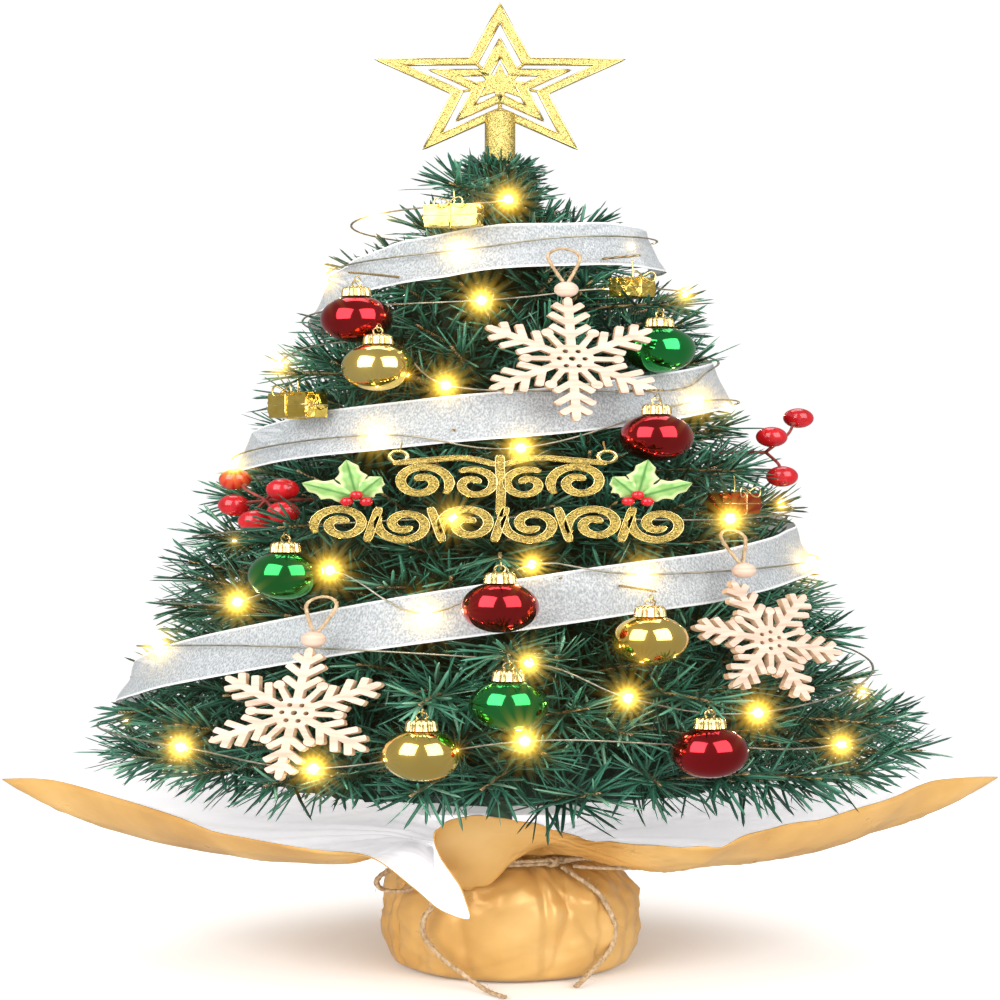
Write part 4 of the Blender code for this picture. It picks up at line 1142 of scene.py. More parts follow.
def make_blocked():
    """A test of which points lie in an ornament, at the ribbon, in the sheet or at the case."""
    spheres = ornament_spheres()
    ribbon = smooth_through(RIBBON_COURSE, 12)
    discs = []
    for _, azimuth, height, offset, lean, _ in FLAKES:
        centre, face = flake_place(azimuth, height, offset, lean)
        discs.append((np.array(centre), np.array(face)))
    case_low, case_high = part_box("battery_case")
    ceiling = skirt_ceiling()

    def blocked(points):
        x, y, z = points[:, 0], points[:, 1], points[:, 2]
        radius = np.hypot(x, y)
        azimuth = np.degrees(np.arctan2(x, -y))
        cone = cone_radius(z)
        bad = np.zeros(len(points), bool)
        for turn in range(-1, 4):
            total = azimuth + 360 * turn
            inside = (total >= ribbon[0][0] - 1) & (total <= ribbon[-1][0] + 1)
            middle = between(ribbon, total)
            level = np.abs(z - middle) < RIBBON_ZONE_HALF
            bad |= inside & level & (radius > cone - RIBBON_ZONE_DEPTH)
        for centre, size in spheres:
            bad |= ((points - np.array(centre)) ** 2).sum(1) < size**2
        for centre, face in discs:
            local = (points - centre) @ face
            flat = np.abs(local[:, 2]) < FLAKE_ZONE_HALF
            for shift in (-FLAKE_SWAY, 0.0, FLAKE_SWAY):
                bad |= flat & (np.hypot(local[:, 0] - shift, local[:, 1]) < FLAKE_R + 0.002)
        half, low, high = SIGN_ZONE
        bad |= (np.abs(x) < half) & (z > low) & (z < high) & (y < SIGN_Y + SIGN_CLEAR)
        cell = ceiling_cell(azimuth, radius)
        bad |= z < ceiling[cell] + SHEET_CLEAR
        near_case = np.ones(len(points), bool)
        for k in range(3):
            near_case &= points[:, k] > case_low[k] - 0.002
            near_case &= points[:, k] < case_high[k] + 0.003
        return bad | near_case

    return blocked


LOWEST_ROW = 0.137
CROWN_TOP = 0.353  # height over which the twigs go from level to steep
TWIG_ROW = 0.0215
TWIG_SPACING = 0.0285
TIP_INSET = 0.0135  # the needles at a tip reach this far past it
TWIG_R = 0.0011  # at the root
TWIG_TAPER = 0.0004
TWIG_PAST = 0.0045  # how far the wire goes on past the last needles
TWIG_NEEDLES = 66
TWIG_DRESSED = 0.066  # length of a twig that carries needles
NEEDLE_LENGTH = 0.0275
NEEDLE_SPREAD = ((0, 24), (0.15, 48), (0.5, 60), (1, 66))  # share of the twig, degrees off it
NEEDLE_SIZES = ((0, 0.62), (0.2, 0.95), (1, 1.0))  # share of the twig, share of the full length
NEEDLE_WIDTH = 0.00145
NEEDLE_THICK = 0.00035
TRUNK_R = 0.0052
CORE_SPAN = (0.116, 0.478)
CORE_SHARE = 0.72
CORE_INSET = 0.022
NEEDLE_CUTS = (1.0, 0.84, 0.68, 0.54, 0.4)  # a needle that would go through something is cut shorter
NEEDLE_TESTS = (0.15, 0.3, 0.45, 0.6, 0.8, 1.0)  # shares of its length where a needle is tested
GOLDEN_ANGLE = 2.39996
HOOK_CLEAR = 0.0024  # an ornament's twig passes this far above its hanging point
CROWN_ROWS = (  # height, reach and upward tilt of the short branches round the top
    (0.466, 0.020, 28),
    (0.477, 0.014, 38),
    (0.487, 0.009, 34),
    (0.4945, 0.0075, 30),
)


def swell_at(azimuth, height):
    """How much further the lowest branches reach to the sides than the outline says."""
    low = np.clip((0.175 - height) / 0.03, 0, 1)
    side = math.sin(math.radians(azimuth))
    return low * (0.014 * max(0.0, side) ** 3 + 0.004 * max(0.0, -side) ** 3)


def twig_tips(rng):
    """Tip, and direction of growth, of every branch."""
    tips, ways = [], []
    height = LOWEST_ROW
    row = 0
    while height < CROWN_ROWS[0][0] - 0.004:
        radius = max(0.006, float(outline_radius(height)) - TIP_INSET)
        count = max(4, round(2 * math.pi * radius / TWIG_SPACING))
        share = (height - LOWEST_ROW) / CROWN_TOP
        for k in range(count):
            azimuth = 360 * (k + 0.5 * (row % 2) + rng.uniform(-0.25, 0.25)) / count
            z = height + rng.uniform(-0.006, 0.006)
            reach = max(0.005, float(outline_radius(z)) - TIP_INSET + rng.uniform(-0.010, 0.0035))
            reach += swell_at(azimuth, z)
            lift = math.radians(4 + 30 * share + rng.uniform(-11, 11))
            turn = azimuth + rng.uniform(-18, 18)
            tips.append(np.array(outward(azimuth) * reach + UP * z))
            ways.append(np.array(outward(turn) * math.cos(lift) + UP * math.sin(lift)))
        height += TWIG_ROW
        row += 1
    for height, reach, tilt in CROWN_ROWS:
        for k in range(7):
            azimuth = 360 * (k + rng.uniform(-0.3, 0.3)) / 7 + height * 9000
            lift = math.radians(tilt + rng.uniform(-12, 12))
            tips.append(np.array(outward(azimuth) * (reach + rng.uniform(-0.002, 0.002)) + UP * height))
            ways.append(np.array(outward(azimuth) * math.cos(lift) + UP * math.sin(lift)))
    hung = [
        (azimuth, height, offset, BALL_DROP)
        for name, _, azimuth, height, offset in BALLS
        if name != "upper_left"  # its twig would go through the ball beside it
    ]
    hung += [(azimuth, height, offset, PACK_DROP) for _, azimuth, height, offset, *_ in PACKS]
    for azimuth, height, offset, drop in hung:
        tips.append(np.array(around(azimuth, height, offset) + UP * (drop + HOOK_CLEAR)))
        ways.append(np.array(outward(azimuth)))
    return np.array(tips), np.array(ways)


def make_foliage(finishes):
    """The needles and the twigs of each tier, and a dark body inside that paints the shade among the inner
    needles.
    """
    rng = np.random.default_rng(11)
    blocked = make_blocked()
    tips, ways = twig_tips(rng)
    edges = [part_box(f"branch_tier_{i}")[0].z for i in range(1, 7)]
    tier_of = np.searchsorted(edges, tips[:, 2] + 0.004) - 1
    for tier in range(6):
        chosen = np.flatnonzero(np.clip(tier_of, 0, 5) == tier)
        bases, directions, lengths, tones_and_shade = [], [], [], []
        for i in chosen:
            reach = math.hypot(tips[i, 0], tips[i, 1])
            dressed = min(TWIG_DRESSED, max(0.02, reach - TRUNK_R))
            count = int(TWIG_NEEDLES * (0.45 + 0.55 * dressed / TWIG_DRESSED))
            tone = rng.normal(0.42, 0.13)
            for k in range(count):
                back = dressed * ((k + rng.uniform(0, 1)) / count) ** 1.15
                share = back / TWIG_DRESSED
                open_angle = math.radians(between(NEEDLE_SPREAD, share) + rng.uniform(-9, 9))
                roll = k * GOLDEN_ANGLE + rng.uniform(-0.5, 0.5)
                upright = (0.0, 0.0, 1.0) if abs(ways[i, 2]) < 0.9 else (1.0, 0, 0)
                side = unit(np.cross(ways[i], upright))
                rise = np.cross(side, ways[i])
                radial = side * math.cos(roll) + rise * math.sin(roll)
                bases.append(tips[i] - ways[i] * back)
                directions.append(ways[i] * math.cos(open_angle) + radial * math.sin(open_angle))
                size = between(NEEDLE_SIZES, share) * rng.uniform(0.82, 1.12)
                lengths.append(NEEDLE_LENGTH * size * (0.75 if reach < 0.03 else 1.0))
                # Random tone per twig and needle, minus painted shade that grows towards the trunk.
                tones_and_shade.append(np.clip(tone + rng.normal(0, 0.22) - 0.25 * share, 0, 1))
        bases, directions, lengths, tones_and_shade = map(np.array, (bases, directions, lengths, tones_and_shade))
        scale = np.zeros(len(bases))
        for tried in NEEDLE_CUTS:
            free = np.ones(len(bases), bool)
            for part in NEEDLE_TESTS:
                free &= ~blocked(bases + directions * (lengths * tried * part)[:, None])
            scale = np.where((scale == 0) & free, tried, scale)
        keep = scale > 0
        lengths = lengths * scale
        mesh = strips(
            f"needles_tier_{tier + 1}", bases[keep], directions[keep], lengths[keep], NEEDLE_WIDTH,
            NEEDLE_THICK, rng, 0.22, tones_and_shade[keep],
        )
        put(mesh.name, mesh, "tree", [f"branch_tier_{tier + 1}"], [finishes["needle"]])
        make_twigs(tier, tips[chosen], ways[chosen], finishes["twig"])
    make_core(finishes["core"])


def make_twigs(tier, tips, ways, finish):
    """The wire of each branch, from the trunk to its tip."""

    def section(i, share):
        return circle(TWIG_R - TWIG_TAPER * share, 5, 0.6 * i)

    meshes = []
    for tip, way in zip(tips, ways):
        tip = Vector(tip) + Vector(way) * TWIG_PAST
        reach = math.hypot(tip.x, tip.y)
        bend = Vector(tip) - Vector(way) * min(0.05, 0.7 * reach)
        root_z = min(0.49, max(0.114, tip.z - 0.25 * reach))
        root = Vector((bend.x, bend.y, 0)).normalized() * (TRUNK_R - 0.0008) + UP * root_z
        line = smooth_through([root, (root + bend) / 2, bend, tip], 3)
        meshes.append(swept("twig", line, section))
    put(f"twigs_tier_{tier + 1}", joined_mesh("twigs", meshes), "tree", (), [finish])


def make_core(finish):
    """A dark bristly body round the trunk: painted shade that stands for the crowded inner needles in the
    tree's shadow.
    """
    steps, rings = 120, 60
    low, high = CORE_SPAN
    points = []
    rng = np.random.default_rng(3)
    rough = rng.uniform(-1, 1, (rings, steps))
    for i in range(rings):
        z = low + (high - low) * i / (rings - 1)
        base = max(0.006, CORE_SHARE * float(outline_radius(z)) - CORE_INSET)
        for k in range(steps):
            reach = max(0.0056, base + 0.006 * rough[i, k])
            azimuth = 360 * k / steps
            points.append(tuple(outward(azimuth) * reach + UP * z))
    faces = grid_faces(rings, steps, wrap=True) + end_caps(steps, len(points))
    mesh = mesh_of("inner_foliage_painted_shade", points, faces, False)
    put("inner_foliage_painted_shade", mesh, "tree", (), [finish])


# ---- wrapping sheet ----
POUCH_SHIFT = 0.0045  # the pouch bulges this much to the right of the trunk
NECK_TUCKS = 31
FOLD_SLANT = 400  # degrees per metre of height, for a slant of 1
FOLD_WIDTH = 4.5  # degrees
POUCH_FOLDS = (  # azimuth at the foot, slant and depth of the sharp folds
    (-14, -0.3, 0.0030),
    (22, 0.6, 0.0032),
    (-52, 1.0, 0.0024),
    (55, -1.2, 0.0026),
    (-80, 0.4, 0.0022),
    (88, 0.8, 0.0024),
    (130, -0.9, 0.0028),
    (168, 1.1, 0.0026),
    (-125, -0.7, 0.0026),
)


def skirt_points(columns, shares):
    """Rows of points of the spread sheet, from the neck outwards, with its keys smoothed."""
    loop = list(SKIRT_EDGE) + [(SKIRT_EDGE[0][0] + 360, *SKIRT_EDGE[0][1:])]
    keys = np.array(smooth_through(loop, 8))
    places = np.where(columns < keys[0, 0], columns + 360, columns)
    x, y, z, power, hump = (np.interp(places, keys[:, 0], keys[:, i]) for i in range(1, 6))
    neck_r, neck_z = POUCH[-1]
    angle = np.radians(columns)
    root = neck_z + SKIRT_ROOT
    rows = []
    for share in shares:
        across = np.sin(angle) * neck_r * (1 - share) + x * share
        ahead = -np.cos(angle) * neck_r * (1 - share) + y * share
        rise = (z - root) * share**power + hump * math.sin(math.pi * share) ** 2
        height = neck_z + SKIRT_ROOT * min(1.0, 4 * share) + rise
        rows.append(np.stack([across, ahead, height], 1))
    return np.array(rows)


def ceiling_cell(azimuth, radius):
    """Row and column of places in a grid of 2 degrees by 4 mm."""
    return (azimuth % 360 / 2).astype(int) % 180, np.minimum(63, radius / 0.004).astype(int)


def skirt_ceiling():
    """The sheet's greatest height over that grid."""
    points = skirt_points(np.arange(-180, 180, 0.5), np.linspace(0, 1.03, 120)).reshape(-1, 3)
    azimuth = np.degrees(np.arctan2(points[:, 0], -points[:, 1]))
    table = np.zeros((180, 64))
    np.maximum.at(table, ceiling_cell(azimuth, np.hypot(points[:, 0], points[:, 1])), points[:, 2])
    return table


def make_wrapper(finishes):
    """The sheet's outer side: creased pouch, gathered neck and spread skirt."""
    loop = list(SKIRT_EDGE) + [(SKIRT_EDGE[0][0] + 360, *SKIRT_EDGE[0][1:])]
    columns = np.array(smooth_through(loop, 10))[:-1, 0]
    angle = np.radians(columns)
    creases = 1 - np.clip(np.abs(waves(angle, 5, 4, 3, 11)) * 4.0, 0, 1)
    broad = waves(angle, 6, 4, 2, 6)
    gathers = 0.5 + 0.5 * np.sin(NECK_TUCKS * angle + 6 * broad)
    rows = []
    for radius, z in smooth_through(POUCH, 8):
        near_neck = np.clip((z - 0.046) / 0.024, 0, 1) ** 2
        from_foot = min(1.0, z / 0.008)
        folds = sum(
            depth * np.exp(-np.abs(columns - at - FOLD_SLANT * lean * z) / FOLD_WIDTH)
            for at, lean, depth in POUCH_FOLDS
        )
        dents = waves(angle * 1.7 + 40 * z, 9, 5, 5, 16) * 0.0007
        dents = dents + waves(angle - 30 * z, 10, 4, 3, 9) * 0.0010
        slack = np.abs(waves(angle * 1.3 - 55 * z, 15, 4, 4, 12)) * 0.0012
        reach = radius + (0.0012 * broad + dents - slack - 0.0016 * creases - folds) * from_foot
        reach = reach + POUCH_SHIFT * np.sin(angle) * np.clip((0.066 - z) / 0.02, 0, 1)
        reach = reach - near_neck * 0.0042 * gathers
        level = np.full(len(angle), z)
        rows.append(np.stack([np.sin(angle) * reach, -np.cos(angle) * reach, level], 1))
    shares = np.linspace(0, 1, 57)[1:]
    for share, row in zip(shares, skirt_points(columns, shares)):
        gather = (1 - share) ** 2.2 * min(1, 10 * share)
        row[:, 2] += 0.0050 * gather * gathers
        row[:, 2] += 0.0018 * share * waves(angle, 12, 5, 5, 15) - 0.0012 * creases * share
        row[:, 2] += 0.0008 * waves(angle * 2 + 9 * share, 13, 5, 6, 20) * min(1, 3 * share)
        rows.append(row)
    points = np.concatenate(rows)
    faces = grid_faces(len(rows), len(columns), wrap=True)
    faces.append(tuple(reversed(range(len(columns)))))
    mesh = mesh_of("wrapper_sheet", points, faces)
    coats = [finishes["gold_paper"], finishes["white_paper_painted_glow"]]
    sheet = put("wrapper_sheet", mesh, "tree", ["wrapper_paper"], coats)
    thicken(sheet, PAPER, -1.0, inner_coat=1)


# ---- ribbon ----
def make_ribbon(finish):
    """The rippled band, laid on the foliage along its course."""
    course = smooth_through(RIBBON_COURSE, 12)
    first, last = RIBBON_COURSE[0][0], RIBBON_COURSE[-1][0]
    azimuths = np.arange(first, last + 0.01, 1.5)
    middles = between(course, azimuths)
    across = np.linspace(-1, 1, 11)
    rows = []
    for azimuth, middle in zip(azimuths, middles):
        angle = math.radians(azimuth)
        for side in across:
            width = RIBBON_WIDTH * (1 + 0.05 * float(waves(np.array(angle), 31, 4, 2, 5)))
            z = middle + side * width / 2 + 0.0012 * float(waves(np.array(angle), 32, 4, 3, 9))
            ripple = 0.0011 * float(waves(np.array(angle * 3 + side * 0.8), 33, 4, 2, 7))
            curl = 0.0007 * side * side
            rows.append(tuple(around(azimuth, z, ripple + curl)))
    mesh = mesh_of("ribbon_organza", rows, grid_faces(len(azimuths), len(across)))
    tag_points(mesh, "across", np.tile(np.abs(across), len(azimuths)))
    ribbon = put("ribbon_organza", mesh, "tree", ["organza_ribbon"], [finish])
    thicken(ribbon, RIBBON_THICK)


# ---- star ----
STAR_CENTRE = Vector((0, 0, 0.549))
STAR_R = 0.0508
STAR_NOTCH = 0.39
STAR_THICK = 0.0025
STAR_WIDEN = 1.045
STAR_EDGE = 0.0003  # chamfer
STAR_BRIDGE_R = 0.0008
STAR_RIM_R = 0.00042
STAR_FRAMES = ((1.0, 0.75), (0.57, 0.324))  # outer and inner size of each frame, of the star's
STAR_RIMS = (0.985, 0.765, 0.56, 0.335)
SLEEVE_PROFILE = (
    (0, 0.5318), (0.0040, 0.5318), (0.0058, 0.5306), (0.0062, 0.528), (0.0062, 0.503),
    (0.0066, 0.5018), (0.0066, 0.4998), (0.0036, 0.4996), (0, 0.5240),
)


def star_points(scale, points=5, notch=STAR_NOTCH):
    found = []
    for i in range(2 * points):
        angle = math.pi / 2 + i * math.pi / points
        reach = scale * STAR_R * (1.0 if i % 2 == 0 else notch)
        found.append((reach * math.cos(angle), reach * math.sin(angle)))
    return found


def plate(name, outlines, thickness, edge):
    """A flat mesh from closed outlines in XY; outlines inside others are holes."""
    curve = bpy.data.curves.new(name, "CURVE")
    curve.dimensions = "2D"
    curve.fill_mode = "BOTH"
    curve.extrude = thickness / 2 - edge
    curve.bevel_depth = edge
    curve.bevel_resolution = 1
    curve.offset = -edge
    for outline in outlines:
        spline = curve.splines.new("POLY")
        spline.points.add(len(outline) - 1)
        for target, (x, y) in zip(spline.points, outline):
            target.co = (x, y, 0.0, 1.0)
        spline.use_cyclic_u = True
    shape = shown(name, curve)
    bpy.context.view_layer.update()
    graph = bpy.context.evaluated_depsgraph_get()
    mesh = bpy.data.meshes.new_from_object(shape.evaluated_get(graph))
    bpy.data.objects.remove(shape, do_unlink=True)
    bpy.data.curves.remove(curve)
    return turned_out(mesh, merge_within=0.000002)


STAND = Matrix.Rotation(math.pi / 2, 4, "X")


def rim(name, outline, radius, depth):
    """A raised line along a closed outline, at a height above the plate's middle."""
    points = [Vector((x, y, depth)) for x, y in outline]
    dense = []
    for a, b in zip(points, points[1:] + points[:1]):
        dense += [a.lerp(b, 0.02), a.lerp(b, 0.5), a.lerp(b, 0.98)]
    dense.append(dense[0])
    return wire(name, dense, radius, 6)


def make_star(finishes):
    """Nested star frames held by bridges, their raised rims, and the sleeve below."""
    plates = []
    for outer, inner in STAR_FRAMES:
        plates.append(plate("star", [star_points(outer), star_points(inner)], STAR_THICK * 0.8, STAR_EDGE))
    plates.append(plate("star", [star_points(0.25, 8, 0.45)], STAR_THICK * 0.8, STAR_EDGE))
    for i in range(5):
        angle = math.pi / 2 + math.pi / 5 + i * 2 * math.pi / 5
        start, end = 0.10 * STAR_R, (0.75 * STAR_NOTCH + 0.03) * STAR_R
        way = Vector((math.cos(angle), math.sin(angle), 0))
        line = [way * (start + (end - start) * t) for t in (0, 0.5, 1)]
        plates.append(wire("bridge", line, STAR_BRIDGE_R))
    rims = []
    for scale in STAR_RIMS:
        for depth in (-1, 1):
            rims.append(rim("rim", star_points(scale), STAR_RIM_R, depth * STAR_THICK * 0.4))
    home = Matrix.Translation(STAR_CENTRE) @ STAND @ Matrix.Diagonal((STAR_WIDEN, 1, 1, 1))
    for mesh in plates + rims:
        moved(mesh, home)
    grain = np.random.default_rng(8).uniform(-0.00012, 0.00012, 64)
    sleeve = turned_mesh(
        "sleeve", SLEEVE_PROFILE, 48, lambda k, radius, z: grain[(k * 7 + int(z * 9000)) % 64]
    )
    body = joined_mesh("star_cast", plates + [sleeve], 30)
    put("star_cast", body, "star", ["star_topper"], [finishes["star_glitter"]])
    put("star_rims", joined_mesh("star_rims", rims), "star", (), [finishes["bright_gold"]])


# ---- balls ----
NECK_R = 0.003
CAP_STEPS = 108
CRIMPS = 18
CRIMP = 0.00028
CAP_PROFILE = (
    (0, 0.0188), (0.0022, 0.0188), (0.0042, 0.0184), (0.0050, 0.0174), (0.0052, 0.0160),
    (0.0054, 0.0132), (0.0056, 0.0129), (0.0050, 0.0129), (0.0048, 0.0140), (0, 0.0142),
)


def cap_mesh():
    """A pressed cap with a crimped skirt, and the ring on top of it."""

    def crimp(k, radius, height):
        return CRIMP * math.cos(2 * math.pi * k * CRIMPS / CAP_STEPS) if radius > 0.0046 else 0.0

    cap = turned_mesh("cap", CAP_PROFILE, CAP_STEPS, crimp)
    ring = [(0.0019 * math.sin(s), 0.0, 0.0203 - 0.0021 * math.cos(s)) for s in angles(28)]
    return joined_mesh("cap", [cap, wire("ring", ring, 0.00035)], 40)


def make_balls(finishes):
    """Each ball with a neck at its top, and its cap with the thread loop."""
    steps = 40
    first = math.asin(NECK_R / BALL_R)
    profile = [(0, 0.0150), (0.0028, 0.0150), (NECK_R, 0.0145)]
    for i in range(steps + 1):
        angle = first + (math.pi - first) * i / steps
        profile.append((BALL_R * math.sin(angle), BALL_R * math.cos(angle)))
    profile[-1] = (0, -BALL_R)
    for name, colour, azimuth, height, offset in BALLS:
        home = hung_at(azimuth, height, offset)
        body = f"ball_{colour}_{name}"
        ball = moved(turned_mesh("ball", profile, 72), home)
        put(f"{body}_glass", ball, body, [body], [finishes[f"ball_{colour}"]])
        loop = [(0.0004, 0.0017 * math.sin(s), 0.0223 - 0.0022 * math.cos(s)) for s in angles(32)]
        pieces = [cap_mesh(), twisted("thread", loop, 0.0003, 0.002, 6)]
        cap = moved(joined_mesh("cap", pieces, 40), home)
        put(f"{body}_cap", cap, body, [f"cap_{colour}_{name}"], [finishes["cap"]])


# ---- snowflakes ----
ARM_HALF = 0.0017
BARB_HALF = 0.00155
HOLE_REACH = 0.0048  # of the ring of small holes round the hub


def barb(start, length, slope):
    """One side barb of an arm, with a blunt end, walking away from the hub."""
    way = (math.cos(slope), math.sin(slope))
    over = (math.sin(slope), -math.cos(slope))
    width = 2 * BARB_HALF
    first = (start, ARM_HALF)
    far = (first[0] + way[0] * length, first[1] + way[1] * length)
    end = (far[0] + over[0] * width, far[1] + over[1] * width)
    nip = 0.0005
    return [
        first,
        (far[0] - way[0] * nip, far[1] - way[1] * nip),
        (far[0] + over[0] * nip, far[1] + over[1] * nip),
        (end[0] - over[0] * nip, end[1] - over[1] * nip),
        (end[0] - way[0] * nip, end[1] - way[1] * nip),
        (start + width / over[0], ARM_HALF),
    ]


def encloses(outline, point):
    """Whether a closed outline goes round a point."""
    inside = False
    for (ax, ay), (bx, by) in zip(outline, outline[1:] + outline[:1]):
        if (ay > point.y) != (by > point.y):
            if point.x < ax + (bx - ax) * (point.y - ay) / (by - ay):
                inside = not inside
    return inside


def cut_plate(name, outlines, thickness):
    """A flat plate with sharp edges from closed outlines in XY; those inside others are holes."""
    flat, edges = [], []
    for outline in outlines:
        start, count = len(flat), len(outline)
        flat += [Vector(point) for point in outline]
        edges += [(start + i, start + (i + 1) % count) for i in range(count)]
    found, _, faces, *_ = geometry.delaunay_2d_cdt(flat, edges, [], 1, 1e-7)
    bm = bmesh.new()
    verts = [bm.verts.new((point.x, point.y, -thickness / 2)) for point in found]
    for face in faces:
        middle = sum((found[i] for i in face), Vector((0, 0))) / len(face)
        if sum(encloses(outline, middle) for outline in outlines) % 2:
            bm.faces.new([verts[i] for i in face])
    loose = [vert for vert in bm.verts if not vert.link_faces]
    bmesh.ops.delete(bm, geom=loose, context="VERTS")
    grown = bmesh.ops.extrude_face_region(bm, geom=bm.faces[:] + bm.edges[:])
    moved_up = [item for item in grown["geom"] if isinstance(item, bmesh.types.BMVert)]
    bmesh.ops.translate(bm, vec=(0, 0, thickness), verts=moved_up)
    bmesh.ops.recalc_face_normals(bm, faces=bm.faces)
    return mesh_from(name, bm)


def flake_outline():
    """Six arms with three blunt barbs a side, and a club between each two arms."""
    slope = math.radians(50)
    side = [(0.0080, ARM_HALF)]
    for start, length in ((0.0125, 0.0085), (0.0195, 0.0085), (0.0265, 0.0062)):
        side += barb(start, length, slope)
    tip = [(0.0345, ARM_HALF * 0.9), (0.0358, 0.0005)]
    spoke = [(0.0082, 0.0013), (0.0150, 0.0012)]
    club = [(0.0172 - 0.0023 * math.cos(t), 0.0023 * math.sin(t)) for t in np.linspace(0.55, math.pi, 7)]
    spoke += club[:-1]
    found = []

    def add(direction, points):
        for along, across in points:
            x = along * math.cos(direction) - across * math.sin(direction)
            y = along * math.sin(direction) + across * math.cos(direction)
            found.append((x, y))

    for arm in range(6):
        direction = math.pi / 2 + arm * math.pi / 3
        half = side + tip
        add(direction, [(a, -b) for a, b in half])
        add(direction, list(reversed(half)))
        between = direction + math.pi / 6
        add(between, [(a, -b) for a, b in spoke] + [club[-1]])
        add(between, list(reversed(spoke)))
    return found


def make_flakes(finishes):
    holes = [circle(0.0013, 14)]
    for k in range(6):
        angle = k * math.pi / 3
        across, along = HOLE_REACH * math.cos(angle), HOLE_REACH * math.sin(angle)
        holes.append([(x + across, y + along) for x, y in circle(0.0011, 12)])
    pattern = cut_plate("flake", [flake_outline()] + holes, FLAKE_THICK)
    pattern.materials.append(finishes["wood"])
    pattern.materials.append(finishes["scorched"])
    for polygon in pattern.polygons:
        polygon.material_index = 0 if abs(polygon.normal.z) > 0.6 else 1
    for name, azimuth, height, offset, lean, turn in FLAKES:
        centre, face = flake_place(azimuth, height, offset, lean)
        body = f"snowflake_{name}"
        home = Matrix.Translation(centre) @ face.to_4x4()
        wood = pattern.copy()
        moved(wood, home @ Matrix.Rotation(math.radians(turn), 4, "Z"))
        put(f"{body}_wood", wood, body, [body])
        make_bead(name, body, home, finishes)
    bpy.data.meshes.remove(pattern)


def make_bead(name, body, home, finishes):
    """The wooden bead, and the jute loop that runs through it to the hanging point."""
    profile = [(0, 0.0042), (0.0012, 0.0042), (0.0022, 0.0039)]
    for i in range(1, 16):
        angle = math.pi * i / 16
        if 0.0023 < BEAD_R * math.sin(angle):
            profile.append((BEAD_R * math.sin(angle), BEAD_R * math.cos(angle)))
    profile += [(0.0022, -0.0039), (0.0012, -0.0042), (0, -0.0042)]
    bead = turned_mesh("bead", profile, 36)
    upright = Matrix.Translation((0, BEAD_RISE, 0)) @ Matrix.Rotation(-math.pi / 2, 4, "X")
    moved(bead, home @ upright)
    put(f"{body}_bead", bead, body, [f"bead_{name}"], [finishes["wood"]])
    start, top = BEAD_RISE + 0.0042, FLAKE_DROP + 0.0065
    loop = [(-0.0008, start, 0), (-0.0026, start + 0.004, 0.0002), (-0.0060, top - 0.0060, 0.0003)]
    loop += [(-0.0042, top - 0.0016, 0), (0, top, -0.0002), (0.0042, top - 0.0016, 0)]
    loop += [(0.0060, top - 0.0060, 0.0003), (0.0026, start + 0.004, -0.0002), (0.0008, start, 0)]
    line = resampled([home @ Vector(point) for point in smooth_through(loop, 8)], 0.0006)
    thread = twisted("loop", line, LOOP_R, 0.0040, 8)
    cord = put(f"{body}_loop", thread, body, (), [finishes["jute"]])
    third = len(line) // 3
    make_fibres(f"{body}_fibres", [line[:third], line[-third:]], LOOP_R, 9, finishes["jute"], 5, body)


# ---- gift packs ----
def make_packs(finishes):
    """Crumpled foil parcels, tied both ways, with a bow and a stem to hang from."""
    for name, azimuth, height, offset, width, depth, tall in PACKS:
        body = f"gift_pack_{name}"
        home = hung_at(azimuth, height, offset)
        bm = bmesh.new()
        bmesh.ops.create_cube(bm, size=1.0)
        bmesh.ops.subdivide_edges(bm, edges=bm.edges[:], cuts=9, use_grid_fill=True)
        rng = np.random.default_rng(len(name) + 40)
        for vertex in bm.verts:
            place = vertex.co * 2
            soft = place.length / max(abs(c) for c in place)
            inward = 0.97 - 0.09 * (soft - 1) - 0.05 * rng.uniform(0, 1)
            vertex.co = Vector((vertex.co.x * width, vertex.co.y * depth, vertex.co.z * tall)) * inward
        mesh = mesh_from("pack", bm)
        mesh.shade_smooth()
        mesh.set_sharp_from_angle(angle=math.radians(28))
        slot = "red_foil" if name == "right" else "gold_foil"
        put(f"{body}_foil", moved(mesh, home), body, [body], [finishes[slot]])
        half = (0.5 * width, 0.5 * depth, 0.5 * tall)
        upright, level = [], []
        for s in angles(40):
            square = 0.985 * min(1.25, 1.0 / max(abs(math.cos(s)), abs(math.sin(s))))
            first, second = math.cos(s) * square, math.sin(s) * square
            upright.append((0.0, half[1] * first, half[2] * second))
            level.append((half[0] * first, half[1] * second, 0.0))
        lines = [upright, level]
        for side in (-1, 1):
            bow = []
            for s in angles(20, math.pi):
                ahead = -half[1] - 0.0006 - 0.001 * math.sin(s)
                bow.append((side * BOW_REACH * math.sin(s), ahead, half[2] + BOW_RISE * math.sin(2 * s)))
            lines.append(bow)
        stem = [(0, 0, half[2] * 0.9), (0.0004, 0, half[2] + 0.003), (0, 0, PACK_DROP)]
        lines.append(resampled(smooth_through(stem, 5), 0.0006))
        threads = [twisted("thread", line, PACK_THREAD_R, 0.0025, 6) for line in lines]
        cords = moved(joined_mesh("threads", threads), home)
        put(f"{body}_thread", cords, body, (), [finishes["bright_gold"]])


# ---- hanging sign ----
STROKE_SECTION = (  # across and deep, of half the stroke's width and of half the sign's depth
    (-1, 0.45), (-0.72, 1), (0.72, 1), (1, 0.45), (1, -0.45), (0.72, -1), (-0.72, -1), (-1, -0.45),
)


